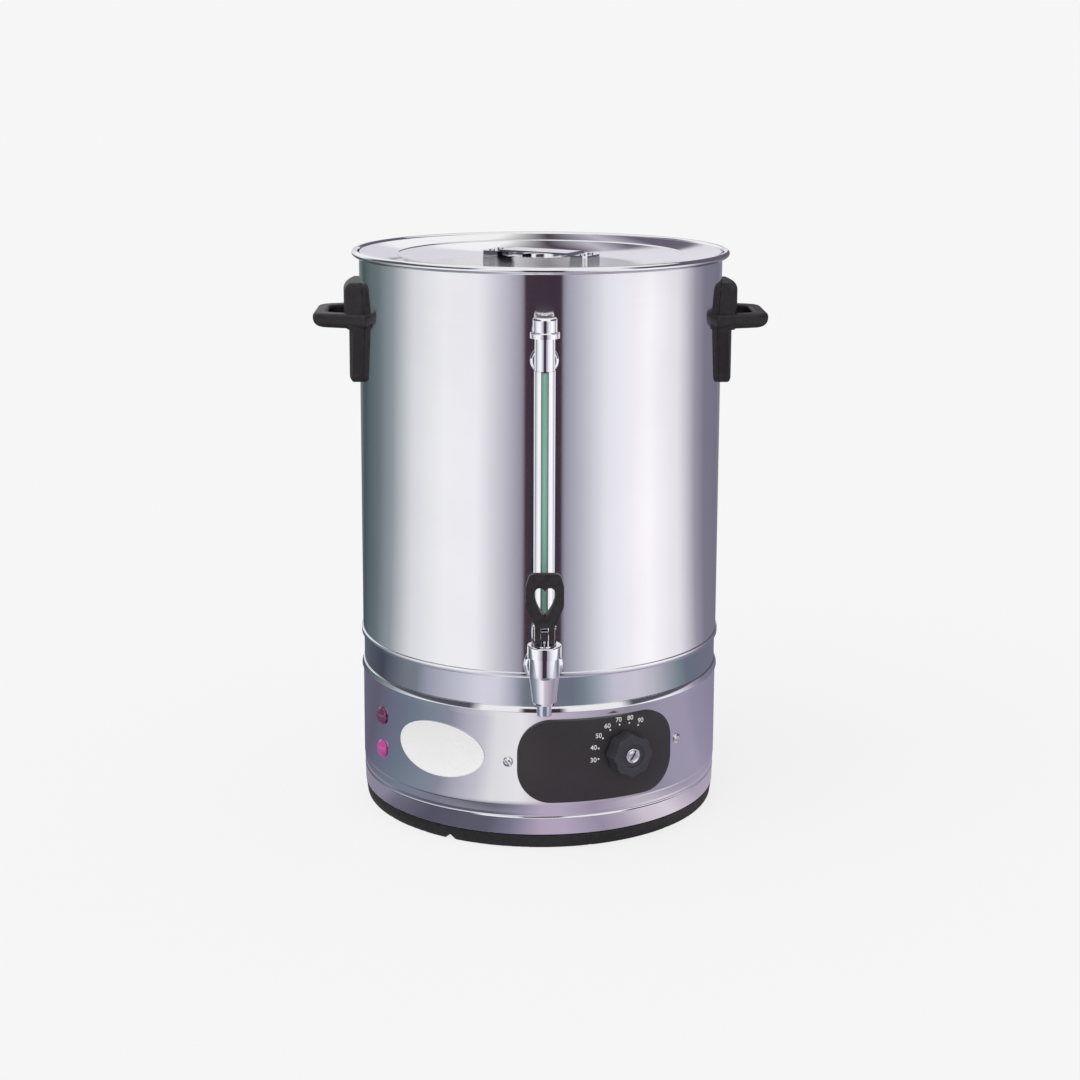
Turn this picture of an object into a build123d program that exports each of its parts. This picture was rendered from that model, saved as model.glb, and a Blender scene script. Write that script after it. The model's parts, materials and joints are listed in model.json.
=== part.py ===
from build123d import *
import os
from math import cos, degrees, radians, sin, sqrt

# Hot water urn of about 20 litres: a steel tank hangs by its rolled rim in an outer shell,
# which stands on a base that holds the thermostat, the lamps and the wiring.
# Frame: origin at the centre of the foot ring's underside, +Z up, the tap at the front (-Y).
# All lengths are in millimetres and all angles in degrees, counted from the front towards +X.

os.makedirs("parts", exist_ok=True)

# ---- Clearances ----
touch = 0.1  # between curved faces of pieces that are fixed together
running = 0.05  # radial, between a pin or shaft and its bore
loose = 0.3  # between pieces that move apart
skim = 0.02  # between a ring and the sheet it bears on
past = 1.0  # how far a cut or a joining bar runs past a face

# ---- Vessel ----
body_radius = 150.0
rim_top = 465.0
rim_overhang = 6.0
rim_bead = 2.6
skin = 0.8
tank_wall = 1.0
air_gap = 9.0
floor_rise = 15.0  # tank's underside above the base housing
tank_corner = 8.0
band_height = 24.0  # between base housing and shell
hem_height = 4.0
hem_proud = 1.2
hem_round = 0.84

# ---- Base ----
foot_height = 10.8
foot_width = 10.8
foot_inset = 1.1
foot_draft = 1.5
foot_round = 1.8
notch_width = 11.0
notch_height = 4.5
notch_count = 3
notch_angle = -30.0
notch_round = 1.5
base_top = 118.0
bead_height = 9.0
bead_proud = 1.2
step_height = 36.0
step_depth = 0.4
groove_height = 27.5
groove_width = 3.2
groove_depth = 0.8
base_draft = 0.5
flange_width = 9.0
collar_wall = 1.0
collar_up = 8.0
collar_down = 17.0
ledge_width = 21.0
base_screw_count = 4
base_screw_angle = 15.0
base_shank_radius = 2.0
base_head_radius = 3.5
base_head_height = 2.4
base_screw_bite = 2.0
drive_slot = 1.0
plate_margin = 2.0
vent_angles = (30, 150, 270)
vent_radius = 90.0
vent_count = 5
vent_spread = 48.0
vent_length = 34.0
vent_width = 4.0

# ---- Control panel ----
panel_angle = 17.75
panel_height = 67.7
panel_width = 133.5
panel_gap = 2.05  # below the housing's bead
panel_corner = 27.0
panel_thickness = 2.5
panel_bevel = 0.7
bracket_thickness = 1.5
bracket_height = 30.0
bracket_corner = 4.0
bracket_margin = 11.6
left_screw_gap = 7.5
right_screw_gap = 9.9
left_screw_rise = -0.9
right_screw_rise = 2.6
bracket_shank = 1.6
bracket_shank_end = 3.0
bracket_head = 3.3
bracket_head_height = 2.0
bracket_slot_depth = 0.8
knob_angle = 25.4
knob_rise = 4.6  # above the panel's middle
knob_radius = 18.5
knob_length = 14.0
knob_lobes = 8
knob_scallop = 6.4
knob_scallop_out = 4.4
knob_lobe_round = 1.4
knob_front_round = 1.6
knob_draft = 2.0
knob_gap = 0.8
knob_dish_radius = 9.6
knob_dish_depth = 1.4
knob_socket_depth = 8.6
knob_cap_radius = 6.2
knob_cap_proud = 1.0
knob_cap_sunk = 0.8
knob_cap_slot = 1.4
knob_screw_radius = 1.5
shaft_radius = 3.0
shaft_thread_start = 2.0
neck_radius = 5.0
neck_collar = 3.0
neck_collar_length = 5.0
thermostat_width = 44.0
thermostat_height = 36.0
thermostat_depth = 22.0
thermostat_corner = 3.0
thermostat_back_wall = 3.0
tab_width = 6.3
tab_sheet = 0.8
tab_length = 8.0
thermostat_tab_pitch = 18.0

# ---- Lamps and badge ----
lamp_angle = -60.4
lamp_drop = 0.9  # middle of the pair below the panel's middle
lamp_spacing = 28.0
lamp_radius = 7.4
lamp_dome = 4.6
lamp_rim = 1.0
lamp_holder_radius = 5.8
lamp_holder_length = 24.0
lamp_nut_width = 2.4
lamp_nut_height = 2.7
lamp_tab_pitch = 6.0
lamp_tab_width = 4.0
badge_angle = -33.75
badge_rise = 2.0  # above the panel's middle
badge_width = 82.7
badge_height = 44.5
badge_thickness = 0.8

# ---- Tap ----
tap_rise = 21.0  # inlet above the tank's underside
column_gap = 0.6  # between the tap's ring and the gauge
shank_radius = 8.0
shank_bore = 4.5
shank_end = 22.0  # inside the tank
shank_step = 1.0
shank_flange = 15.4
shank_flange_sheet = 4.2
shank_flange_round = 3.5
shank_seal_height = 2.8
shank_seal_inset = 1.9
inner_seal_inset = 2.4
inner_seal_height = 3.7
tap_spacer_wall = 3.0
lock_nut_flats = 24.0
lock_nut_height = 6.0
tap_radius = 11.8
tap_tip_radius = 9.3
tap_tip_bevel = 1.0
tap_tip_step = 1.9
shoulder_rise = 2.0  # heights along the tap are counted from its inlet
taper_drop = 18.6
shoulder_round = 20.0
nozzle_radius = 5.7
nozzle_drop = 30.0
nozzle_bore = 4.0
nozzle_round = 0.8
chamber_radius = 8.0
seat_drop = 7.0
body_rise = 21.0
nut_radius = 13.2
nut_height = 9.5
nut_overlap = 4.0
nut_bevel = 1.2
nut_roof = 2.0
nut_clear = 0.2
bonnet_proud = 0.5
bonnet_plug = 5.0
bonnet_rim = 0.4
stem_radius = 2.5
stem_in_cup = 3.0
eye_width = 6.4
eye_above = 3.7
eye_below = 5.3
eye_round = 2.8
eye_gap = 0.5
pin_rise = 8.3  # pin above the bonnet
pin_radius = 1.5
cam_radius = 8.0
cam_offset = 5.5
lever_length = 49.2
lever_half_width = 14.4
lever_back_rise = 4.5
lever_draft = 2.0
lever_tip_back = 1.0
lever_hub = 3.0
lever_shoulder = 8.7
lever_cheek_low = 25.5
lever_cheek_high = 9.5
lever_corner = 3.0
lever_corner_round = 4.0
lever_cheek_round = 9.0
heel_half_width = 7.4
slot_half_width = 3.3
slot_above = 7.7
heart_point = 33.3
heart_waist = 25.2
heart_waist_half = 5.6
heart_wide = 15.4
heart_half = 7.7
heart_lobe = 10.7
heart_lobe_half = 3.9
heart_notch = 13.9
ear_sheet = 1.0
ear_width = 5.0
ear_above = 5.7
ear_round = 2.4
inlet_radius = 6.5
inlet_length = 5.5
inlet_end_gap = 1.5
tap_neck_radius = 10.3
cup_height = 8.3
cup_gap = 1.7
cup_round = 1.2
spring_radius = 5.0
spring_wire = 0.6
spring_pitch = 3.0

# ---- Level gauge ----
gauge_reach = 16.0
gauge_drop = 71.0  # upper fixing below the rim
column_rise = 19.2  # above the upper fixing
guard_radius = 8.2
guard_wall = 1.0
guard_slot = 5.8
guard_end_gap = 0.8
glass_radius = 5.5
glass_wall = 1.5
glass_above = 10.0
glass_below = 10.0
glass_end_gap = 1.0
strip_width = 5.6
strip_sheet = 0.4
strip_end_gap = 1.0
column_inset = 0.4
socket_wall = 1.4
seal_above = 2.0
seal_height = 6.0
socket_depth = 8.0
gauge_stub_radius = 5.0
gauge_branch_step = 0.5
gauge_stub_end = 8.0  # inside the tank
gauge_flange = 11.0
gauge_flange_gap = 0.2
gauge_flange_sheet = 2.9
gauge_flange_round = 2.4
gauge_nut_flats = 14.0
gauge_nut_height = 4.9
gauge_spacer_wall = 2.5
gauge_air_hole = 1.5
gauge_cap_height = 15.8
gauge_cap_radius = 9.3
gauge_cap_roof = 5.0
gauge_cap_round = 2.2
gauge_collar_radius = 11.3
gauge_collar_height = 4.5
gauge_collar_round = 0.8
socket_rise = 20.0  # above the tap's inlet
socket_radius = 6.9
spigot_radius = 6.0

# ---- Side handles ----
handle_drop = 26.2  # top of the pad below the rim
handle_height = 81.3
handle_plate = 8.6
handle_boss = 12.8
handle_boss_round = 6.0
handle_toe_round = 3.0
handle_plate_half_width = 40.0
handle_toe_narrowing = 3.0
handle_top_narrowing = 9.0
handle_waist = 5.0
handle_plate_corner = 9.0
grip_rise = 45.25
grip_height = 12.0
grip_reach = 37.0
grip_half_width = 50.0
grip_taper = 16.0
grip_corner = 16.0
grip_bar = 11.5
grip_arm = 13.0
grip_root = 12.0  # inside the shell's radius, cut away with it
grip_top_round = 3.5
grip_under_round = 7.0
gap_corner = 9.0
gap_round = 3.0
handle_screw_inset = 12.3
handle_shank = 2.4
handle_head = 4.5
handle_head_height = 2.2
handle_screw_end = 1.3

# ---- Lid ----
lid_floor_radius = 118.0
lid_floor_drop = 4.8
lid_top_drop = 1.4
lid_lip_width = 2.4
lid_edge_gap = 1.3
lid_edge_round = 0.7
pocket_radius = 31.0
pocket_depth = 14.0
pocket_round = 3.0
strap_angle = -30.0
strap_width = 26.0
strap_length = 100.0
strap_sheet = 1.5
strap_rise = 3.0
strap_foot = 15.0
strap_ramp = 4.0
strap_corner = 5.0
spigot_depth = 11.0
spigot_gap = 0.7
rivet_radius = 1.5
rivet_head = 2.6
rivet_head_height = 1.0
rivet_pitch = 14.0

# ---- Heater and electrics ----
loop_half_width = 88.0
loop_corner = 55.0
loop_rise = 14.0  # above the tank's floor
heater_radius = 4.0
leg_half_gap = 22.0
leg_bend = 8.0
leg_below_floor = 4.0
bushing_wall = 2.8
bushing_length = 15.0
bushing_collar = 3.2
bushing_collar_height = 2.0
element_seal_height = 2.0
element_nut_flats = 20.0
element_nut_height = 5.9
element_pin_radius = 2.0
element_pin_length = 12.0
gland_height = 55.0
gland_bore = 4.5
gland_radius = 8.0
gland_inside = 12.0
gland_flange = 3.0
gland_flange_height = 4.0
gland_dome_step = 1.5
gland_dome_length = 14.0
gland_dome_draft = 10.0
gland_dome_round = 1.5
gland_nut_flats = 20.0
gland_nut_height = 5.5
gland_nut_gap = 0.5
block_place = (0.0, 84.0)
block_size = (52.0, 20.0, 16.0)
block_round = 1.0
block_ridge = 4.0
block_ridge_height = 3.0
terminal_pitch = 17.3
terminal_row_pitch = 12.0
terminal_well = 2.6
terminal_well_depth = 9.0
terminal_screw_radius = 2.4
terminal_screw_height = 7.0
terminal_slot = 0.8
earth_place = (44.0, 84.0)
stud_radius = 2.0
stud_head = 2.0
stud_head_height = 1.5
stud_length = 16.0
earth_nut_flats = 8.0
earth_nut_height = 3.2
cutout_place = (-38.0, 20.0)
cutout_length = 34.0
cutout_width = 16.0
cutout_sheet = 1.0
cutout_hole_pitch = 26.0
cutout_hole = 1.8
cutout_can = 8.0
cutout_can_height = 9.0
cutout_tab_pitch = 9.0
bulb_place = (-35.0, -40.0)
bulb_length = 70.0
bulb_radius = 3.0
clip_width = 12.0
clip_length = 22.0
capillary_radius = 0.8
capillary_inset = 4.0  # from the thermostat's back
capillary_bend = 8.0
capillary_fall = 6.0

# ---- Worked out from the sizes above ----
tank_floor = base_top + floor_rise
hem_bottom = base_top + band_height
shell_inner = body_radius - skin
tank_outer = shell_inner - air_gap
tank_inner = tank_outer - tank_wall
tank_inside = tank_floor + tank_wall
bead_r = body_radius + rim_overhang - rim_bead
bead_z = rim_top - rim_bead
ledge_top = bead_z - rim_bead + tank_wall / 2
ledge_bottom = ledge_top - tank_wall
collar_outer = shell_inner - touch
plate_top = foot_height + skin
foot_outer = body_radius - foot_inset
foot_inner = foot_outer - foot_width
base_screw_radius = (foot_inner + foot_outer) / 2
base_head_top = foot_height / 2
panel_seat = body_radius + touch
panel_centre = base_top - bead_height - panel_gap - panel_height / 2
panel_half_angle = degrees(panel_width / 2 / panel_seat)
left_screw = panel_angle - panel_half_angle - degrees(left_screw_gap / panel_seat)
right_screw = panel_angle + panel_half_angle + degrees(right_screw_gap / panel_seat)
bracket_screws = (
    (left_screw, panel_centre + left_screw_rise),
    (right_screw, panel_centre + right_screw_rise),
)
knob_centre = panel_centre + knob_rise
badge_centre = panel_centre + badge_rise
lamp_middle = panel_centre - lamp_drop
lamp_heights = {"upper": lamp_middle + lamp_spacing / 2, "lower": lamp_middle - lamp_spacing / 2}
tap_reach = gauge_reach + guard_radius + column_gap + nut_radius
tap_y = -(body_radius + tap_reach)
tap_centre = tank_floor + tap_rise
nozzle_end = tap_centre - nozzle_drop
tap_taper_end = tap_centre - taper_drop
tap_shoulder = tap_centre + shoulder_rise
seat_height = tap_centre - seat_drop
tap_top = tap_centre + body_rise
nut_bottom = tap_top - nut_overlap
nut_top = nut_bottom + nut_height
bonnet_top = nut_top + bonnet_proud
bonnet_boss = heel_half_width + 1.5 * ear_sheet + bonnet_rim
pin_height = bonnet_top + pin_rise
lever_top = pin_height + lever_length
spring_bottom = seat_height + cup_height
spring_top = tap_top - bonnet_plug
gauge_y = -(body_radius + gauge_reach)
gauge_fixing = rim_top - gauge_drop
gauge_top = gauge_fixing + column_rise
gauge_cap_top = gauge_top + gauge_cap_height
socket_top = tap_centre + socket_rise
handle_top = rim_top - handle_drop
handle_bottom = handle_top - handle_height
handle_screws = (handle_bottom + handle_screw_inset, handle_top - handle_screw_inset)
grip_bottom = handle_bottom + grip_rise
loop_height = tank_inside + loop_rise
bushing_bottom = tank_floor - bushing_length
flange_bottom = tank_inside + element_seal_height
lid_floor = rim_top - lid_floor_drop
pocket_floor = lid_floor - pocket_depth


def at(angle, r, z, along=0.0):
    """Point at a radius and height round the urn, moved along the wall's tangent."""
    a = radians(angle)
    return (r * sin(a) + along * cos(a), -r * cos(a) + along * sin(a), z)


def wall_plane(angle, r, z):
    """Plane square to a radius: x to the right as seen from outside, y up, z outwards."""
    a = radians(angle)
    return Plane(origin=at(angle, r, z), x_dir=(cos(a), sin(a), 0), z_dir=(sin(a), -cos(a), 0))


def upright(x, y):
    """Level plane whose origin stands at a place on the ground."""
    return Plane(origin=(x, y, 0))


def across(y, z):
    """Plane facing +X: x to the rear, y up."""
    return Plane(origin=(0, y, z), x_dir=(0, 1, 0), z_dir=(1, 0, 0))


def tube_between(inner, outer, low, high):
    """Upright ring round the urn's axis, as a private solid for cutting or meeting others."""
    with BuildPart(mode=Mode.PRIVATE) as ring:
        with BuildSketch(Plane.XY.offset(low)):
            Circle(outer)
            Circle(inner, mode=Mode.SUBTRACT)
        extrude(amount=high - low)
    return ring.part


def rod(plane, radius, start, end, mode=Mode.ADD):
    """Round bar or hole along a plane's normal, from start to end."""
    with BuildSketch(plane.offset(start)) as disc:
        Circle(radius)
    extrude(disc.sketch, amount=end - start, mode=mode)


def hexagon(plane, flats, bore, start, end):
    """Hexagon nut with a round bore along a plane's normal."""
    with BuildSketch(plane.offset(start)) as outline:
        RegularPolygon(flats / 2, 6, major_radius=False)
        Circle(bore, mode=Mode.SUBTRACT)
    extrude(outline.sketch, amount=end - start)


def corner(sketch, x, y):
    """The sketch's corner that lies nearest to a point."""
    return sketch.vertices().sort_by_distance(Vector(x, y))[0]


def save(piece, name):
    piece.part.label = name
    export_step(piece.part, f"parts/{name}.step")
    print(name, len(piece.part.solids()), round(piece.part.volume))


front = wall_plane(0, 0, 0)
tap_line = wall_plane(0, 0, tap_centre)
gauge_line = wall_plane(0, 0, gauge_fixing)
knob_line = wall_plane(knob_angle, 0, knob_centre)
rear_line = wall_plane(180, 0, gland_height)
tap_axis = upright(0, tap_y)
gauge_axis = upright(0, gauge_y)
pin_line = across(tap_y, pin_height)
legs = [(-leg_half_gap, loop_half_width), (leg_half_gap, loop_half_width)]
bushing_radius = heater_radius + bushing_wall

# ======== Vessel ========
# The tank is one pressing: a dished floor, a straight wall and a ledge that is rolled over
# a wire all round, which gives the urn its rim.
with BuildPart() as inner_tank:
    with BuildSketch(Plane.XZ) as tank_section:
        with BuildLine():
            Polyline(
                (0, tank_floor),
                (tank_outer, tank_floor),
                (tank_outer, ledge_bottom),
                (bead_r, ledge_bottom),
                (bead_r, ledge_top),
                (tank_inner, ledge_top),
                (tank_inner, tank_inside),
                (0, tank_inside),
                close=True,
            )
        make_face()
        fillet(corner(tank_section, tank_outer, tank_floor), tank_corner)
        fillet(corner(tank_section, tank_inner, tank_inside), tank_corner - tank_wall)
        fillet(corner(tank_section, tank_inner, ledge_top), 2 * tank_wall)
        fillet(corner(tank_section, tank_outer, ledge_bottom), tank_wall)
        with Locations((bead_r, bead_z)):
            Circle(rim_bead)
    revolve(axis=Axis.Z)
    rod(tap_line, shank_radius + touch, 0, body_radius, Mode.SUBTRACT)
    rod(gauge_line, gauge_stub_radius + touch, 0, body_radius, Mode.SUBTRACT)
    with BuildSketch(Plane.XY.offset(tank_floor)):
        with Locations(*legs):
            Circle(bushing_radius + touch)
    extrude(amount=tank_wall, mode=Mode.SUBTRACT)
save(inner_tank, "inner_tank")

# The outer shell is a rolled sheet whose lower edge is folded back into a thicker hem.
with BuildPart() as outer_shell:
    with BuildSketch(Plane.XZ) as shell_section:
        with BuildLine():
            Polyline(
                (shell_inner, hem_bottom),
                (body_radius + hem_proud, hem_bottom),
                (body_radius + hem_proud, hem_bottom + hem_height),
                (body_radius, hem_bottom + hem_height),
                (body_radius, ledge_bottom - touch),
                (shell_inner, ledge_bottom - touch),
                close=True,
            )
        make_face()
        fillet(corner(shell_section, body_radius + hem_proud, hem_bottom), hem_round)
        fillet(corner(shell_section, body_radius + hem_proud, hem_bottom + hem_height), hem_round)
    revolve(axis=Axis.Z)
    rod(tap_line, shank_radius + touch, 0, body_radius + hem_height, Mode.SUBTRACT)
    rod(gauge_line, gauge_stub_radius + touch, 0, body_radius + hem_height, Mode.SUBTRACT)
    for side in (-90, 90):
        for height in handle_screws:
            screw_line = wall_plane(side, 0, height)
            rod(screw_line, handle_shank + touch, 0, body_radius + past, Mode.SUBTRACT)
save(outer_shell, "outer_shell")

# The joint collar shows as the plain band between shell and base. Its ledge carries the tank.
with BuildPart() as joint_collar:
    with BuildSketch(Plane.XZ):
        with BuildLine():
            Polyline(
                (collar_outer, base_top - collar_down),
                (collar_outer, hem_bottom + collar_up),
                (collar_outer - collar_wall, hem_bottom + collar_up),
                (collar_outer - collar_wall, tank_floor),
                (collar_outer - ledge_width, tank_floor),
                (collar_outer - ledge_width, tank_floor - collar_wall),
                (collar_outer - collar_wall, tank_floor - collar_wall),
                (collar_outer - collar_wall, base_top - collar_down),
                close=True,
            )
        make_face()
    revolve(axis=Axis.Z)
    rod(tap_line, shank_radius + tap_spacer_wall + past, 0, body_radius, Mode.SUBTRACT)
save(joint_collar, "joint_collar")


# ======== Base ========
def housing_outline(inset):
    """Draws the housing's wall from bottom to top, moved inwards by a sheet's thickness."""
    low = body_radius - step_depth - base_draft - inset
    mid = body_radius - step_depth - inset
    high = body_radius - inset
    half = groove_width / 2
    draft = base_draft * (groove_height - half - plate_top) / groove_height
    Line((low, plate_top), (low + draft, groove_height - half))
    ThreePointArc(
        (low + draft, groove_height - half),
        (low + draft - groove_depth, groove_height),
        (mid, groove_height + half),
    )
    Line((mid, groove_height + half), (mid, step_height - step_depth))
    Line((mid, step_height - step_depth), (high, step_height + step_depth))
    Line((high, step_height + step_depth), (high, base_top - bead_height))
    ThreePointArc(
        (high, base_top - bead_height),
        (high + bead_proud, base_top - bead_height / 2),
        (high, base_top),
    )
    return low, high


# The base housing is one rolled sheet with a pressed bead at the top and a groove below.
with BuildPart() as base_housing:
    with BuildSketch(Plane.XZ):
        with BuildLine():
            low_outside, high_outside = housing_outline(0)
            low_inside, high_inside = housing_outline(skin)
            Line((low_outside, plate_top), (low_inside, plate_top))
            Line((high_outside, base_top), (high_inside, base_top))
        make_face()
    revolve(axis=Axis.Z)
    with BuildSketch(Plane.XY.offset(plate_top)):
        Circle(low_outside - skin / 2)
        Circle(low_outside - flange_width, mode=Mode.SUBTRACT)
    extrude(amount=skin)
    with BuildSketch(Plane.XY.offset(plate_top)):
        with PolarLocations(base_screw_radius, base_screw_count, base_screw_angle - 90):
            Circle(base_shank_radius + touch)
    extrude(amount=skin, mode=Mode.SUBTRACT)
    rod(knob_line, neck_radius + touch, 0, body_radius + past, Mode.SUBTRACT)
    for height in lamp_heights.values():
        lamp_line = wall_plane(lamp_angle, 0, height)
        rod(lamp_line, lamp_holder_radius + touch, 0, body_radius + past, Mode.SUBTRACT)
    for angle, height in bracket_screws:
        screw_line = wall_plane(angle, 0, height)
        rod(screw_line, bracket_shank + touch, 0, body_radius + past, Mode.SUBTRACT)
    rod(rear_line, gland_radius + touch, 0, body_radius + past, Mode.SUBTRACT)
save(base_housing, "base_housing")

# The foot ring is black rubber with a few drain notches cut across its underside.
with BuildPart() as foot_ring:
    with BuildSketch(Plane.XZ) as foot_section:
        with BuildLine():
            Polyline(
                (foot_inner, 0),
                (foot_outer - foot_draft, 0),
                (foot_outer, foot_height),
                (foot_inner, foot_height),
                close=True,
            )
        make_face()
        fillet(corner(foot_section, foot_outer - foot_draft, 0), foot_round)
    revolve(axis=Axis.Z)
    for number in range(notch_count):
        notch_plane = wall_plane(notch_angle + number * 360 / notch_count, foot_inner - past, 0)
        with BuildSketch(notch_plane) as notch_outline:
            with BuildLine():
                Polyline(
                    (-notch_width / 2, 0),
                    (0, notch_height),
                    (notch_width / 2, 0),
                    (notch_width / 2, -past),
                    (-notch_width / 2, -past),
                    close=True,
                )
            make_face()
            fillet(corner(notch_outline, 0, notch_height), notch_round)
        extrude(amount=foot_width + 3 * past, mode=Mode.SUBTRACT)
    with BuildSketch(Plane.XY):
        with PolarLocations(base_screw_radius, base_screw_count, base_screw_angle - 90):
            Circle(base_head_radius + loose)
    extrude(amount=base_head_top, mode=Mode.SUBTRACT)
    with BuildSketch(Plane.XY):
        with PolarLocations(base_screw_radius, base_screw_count, base_screw_angle - 90):
            Circle(base_shank_radius + touch)
    extrude(amount=foot_height, mode=Mode.SUBTRACT)
save(foot_ring, "foot_ring")

# The base plate closes the underside, with three groups of cooling slots.
with BuildPart() as base_plate:
    with BuildSketch(Plane.XY.offset(foot_height)):
        Circle(foot_outer - plate_margin)
        with PolarLocations(base_screw_radius, base_screw_count, base_screw_angle - 90):
            Circle(base_shank_radius + touch, mode=Mode.SUBTRACT)
        for vent_angle in vent_angles:
            vent_start = vent_angle - vent_spread / 2
            with PolarLocations(vent_radius, vent_count, vent_start, vent_spread, endpoint=True):
                SlotOverall(vent_length, vent_width, mode=Mode.SUBTRACT)
    extrude(amount=skin)
save(base_plate, "base_plate")

with BuildPart() as base_screws:
    with BuildSketch(Plane.XY.offset(base_head_top - base_head_height)):
        with PolarLocations(base_screw_radius, base_screw_count, base_screw_angle - 90):
            Circle(base_head_radius)
            Rectangle(1.4 * base_head_radius, drive_slot, mode=Mode.SUBTRACT)
    extrude(amount=base_head_height)
    with BuildSketch(Plane.XY.offset(base_head_top - base_head_height / 2)):
        with PolarLocations(base_screw_radius, base_screw_count, base_screw_angle - 90):
            Circle(base_shank_radius)
    extrude(amount=plate_top + skin + base_screw_bite - base_head_top + base_head_height / 2)
save(base_screws, "base_screws")

# ======== Control panel ========
panel_front = panel_seat + panel_thickness
panel_line = wall_plane(panel_angle, 0, panel_centre)
knob_back = panel_front + knob_gap
knob_front = knob_back + knob_length

# The panel is a black plate, bent to the housing's curve.
with BuildPart() as control_panel:
    add(tube_between(panel_seat, panel_front, 0, 2 * panel_centre))
    with BuildSketch(panel_line):
        panel_chord = 2 * panel_seat * sin(radians(panel_half_angle))
        RectangleRounded(panel_chord, panel_height, panel_corner)
    extrude(amount=2 * body_radius, mode=Mode.INTERSECT)
    rim_face = control_panel.faces().filter_by(GeomType.CYLINDER).sort_by(Face.area_without_holes)[-1]
    chamfer(rim_face.edges(), panel_bevel)
    rod(knob_line, neck_radius + touch, 0, panel_front + past, Mode.SUBTRACT)
save(control_panel, "control_panel")

# A strap behind the housing's wall carries the thermostat. Two screws hold it from outside.
bracket_outer = shell_inner - touch
bracket_inner = bracket_outer - bracket_thickness
bracket_height_centre = panel_centre + (left_screw_rise + right_screw_rise) / 2
bracket_line = wall_plane((left_screw + right_screw) / 2, 0, bracket_height_centre)
bracket_half_angle = radians(right_screw - left_screw) / 2 + bracket_margin / bracket_inner
bracket_half = bracket_inner * sin(bracket_half_angle)
with BuildPart() as control_bracket:
    add(tube_between(bracket_inner, bracket_outer, 0, 2 * panel_centre))
    with BuildSketch(bracket_line):
        RectangleRounded(2 * bracket_half, bracket_height, bracket_corner)
    extrude(amount=2 * body_radius, mode=Mode.INTERSECT)
    rod(knob_line, neck_radius + touch, 0, body_radius, Mode.SUBTRACT)
    for angle, height in bracket_screws:
        rod(wall_plane(angle, 0, height), bracket_shank + running, 0, body_radius, Mode.SUBTRACT)
save(control_bracket, "control_bracket")

with BuildPart() as panel_screws:
    for angle, height in bracket_screws:
        screw_line = wall_plane(angle, 0, height)
        head_top = panel_seat + bracket_head_height
        rod(screw_line, bracket_shank, bracket_inner - bracket_shank_end, head_top - past)
        rod(screw_line, bracket_head, panel_seat, head_top)
        with BuildSketch(screw_line.offset(head_top - bracket_slot_depth)):
            Rectangle(2 * bracket_head, drive_slot, rotation=40)
        extrude(amount=past, mode=Mode.SUBTRACT)
save(panel_screws, "panel_screws")

# The thermostat's neck passes through strap, housing and panel; its shaft turns in the neck.
thermostat_front = bracket_inner - loose - neck_collar_length
thermostat_back = thermostat_front - thermostat_depth
shaft_start = thermostat_back + thermostat_back_wall
shaft_top = knob_back + knob_socket_depth - loose
thermostat_top = knob_centre + thermostat_height / 2
with BuildPart() as thermostat_body:
    with BuildSketch(knob_line.offset(thermostat_back)):
        RectangleRounded(thermostat_width, thermostat_height, thermostat_corner)
    extrude(amount=thermostat_depth)
    rod(knob_line, neck_radius + neck_collar, thermostat_front, bracket_inner - loose)
    rod(knob_line, neck_radius, thermostat_front, panel_front)
    rod(knob_line, shaft_radius + running, shaft_start, panel_front, Mode.SUBTRACT)
    with BuildSketch(knob_line.offset(thermostat_back - tab_length)):
        with GridLocations(thermostat_tab_pitch, 0, 2, 1):
            Rectangle(tab_sheet, tab_width)
    extrude(amount=tab_length)
save(thermostat_body, "thermostat_body")

with BuildPart() as thermostat_shaft:
    rod(knob_line, shaft_radius, shaft_start + loose, shaft_top)
    thread_start = knob_back + shaft_thread_start
    rod(knob_line, knob_screw_radius + running, thread_start, shaft_top, Mode.SUBTRACT)
save(thermostat_shaft, "thermostat_shaft")

dish_floor = knob_front - knob_dish_depth
cap_back = dish_floor - knob_cap_sunk
cap_front = dish_floor + knob_cap_proud
with BuildPart() as control_knob:
    with BuildSketch(knob_line.offset(knob_back)) as knob_outline:
        Circle(knob_radius)
        with PolarLocations(knob_radius + knob_scallop_out, knob_lobes):
            Circle(knob_scallop, mode=Mode.SUBTRACT)
        fillet(knob_outline.vertices(), knob_lobe_round)
    extrude(amount=knob_length, taper=knob_draft)
    front_edges = control_knob.faces().sort_by(Axis(knob_line.origin, knob_line.z_dir))[-1].edges()
    fillet(front_edges, knob_front_round)
    socket_end = knob_back + knob_socket_depth
    rod(knob_line, shaft_radius + running, knob_back, socket_end, Mode.SUBTRACT)
    rod(knob_line, knob_screw_radius + touch, knob_back, knob_front, Mode.SUBTRACT)
    rod(knob_line, knob_cap_radius + touch, cap_back, knob_front, Mode.SUBTRACT)
    rod(knob_line, knob_dish_radius, dish_floor, knob_front, Mode.SUBTRACT)
save(control_knob, "control_knob")

with BuildPart() as knob_screw:
    rod(knob_line, knob_cap_radius, cap_back, cap_front)
    rod(knob_line, knob_screw_radius, thread_start + past, cap_front - knob_cap_sunk)
    with BuildSketch(knob_line.offset(cap_front - knob_cap_sunk)):
        Rectangle(1.5 * knob_cap_radius, knob_cap_slot, rotation=-35)
    extrude(amount=past, mode=Mode.SUBTRACT)
save(knob_screw, "knob_screw")

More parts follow.
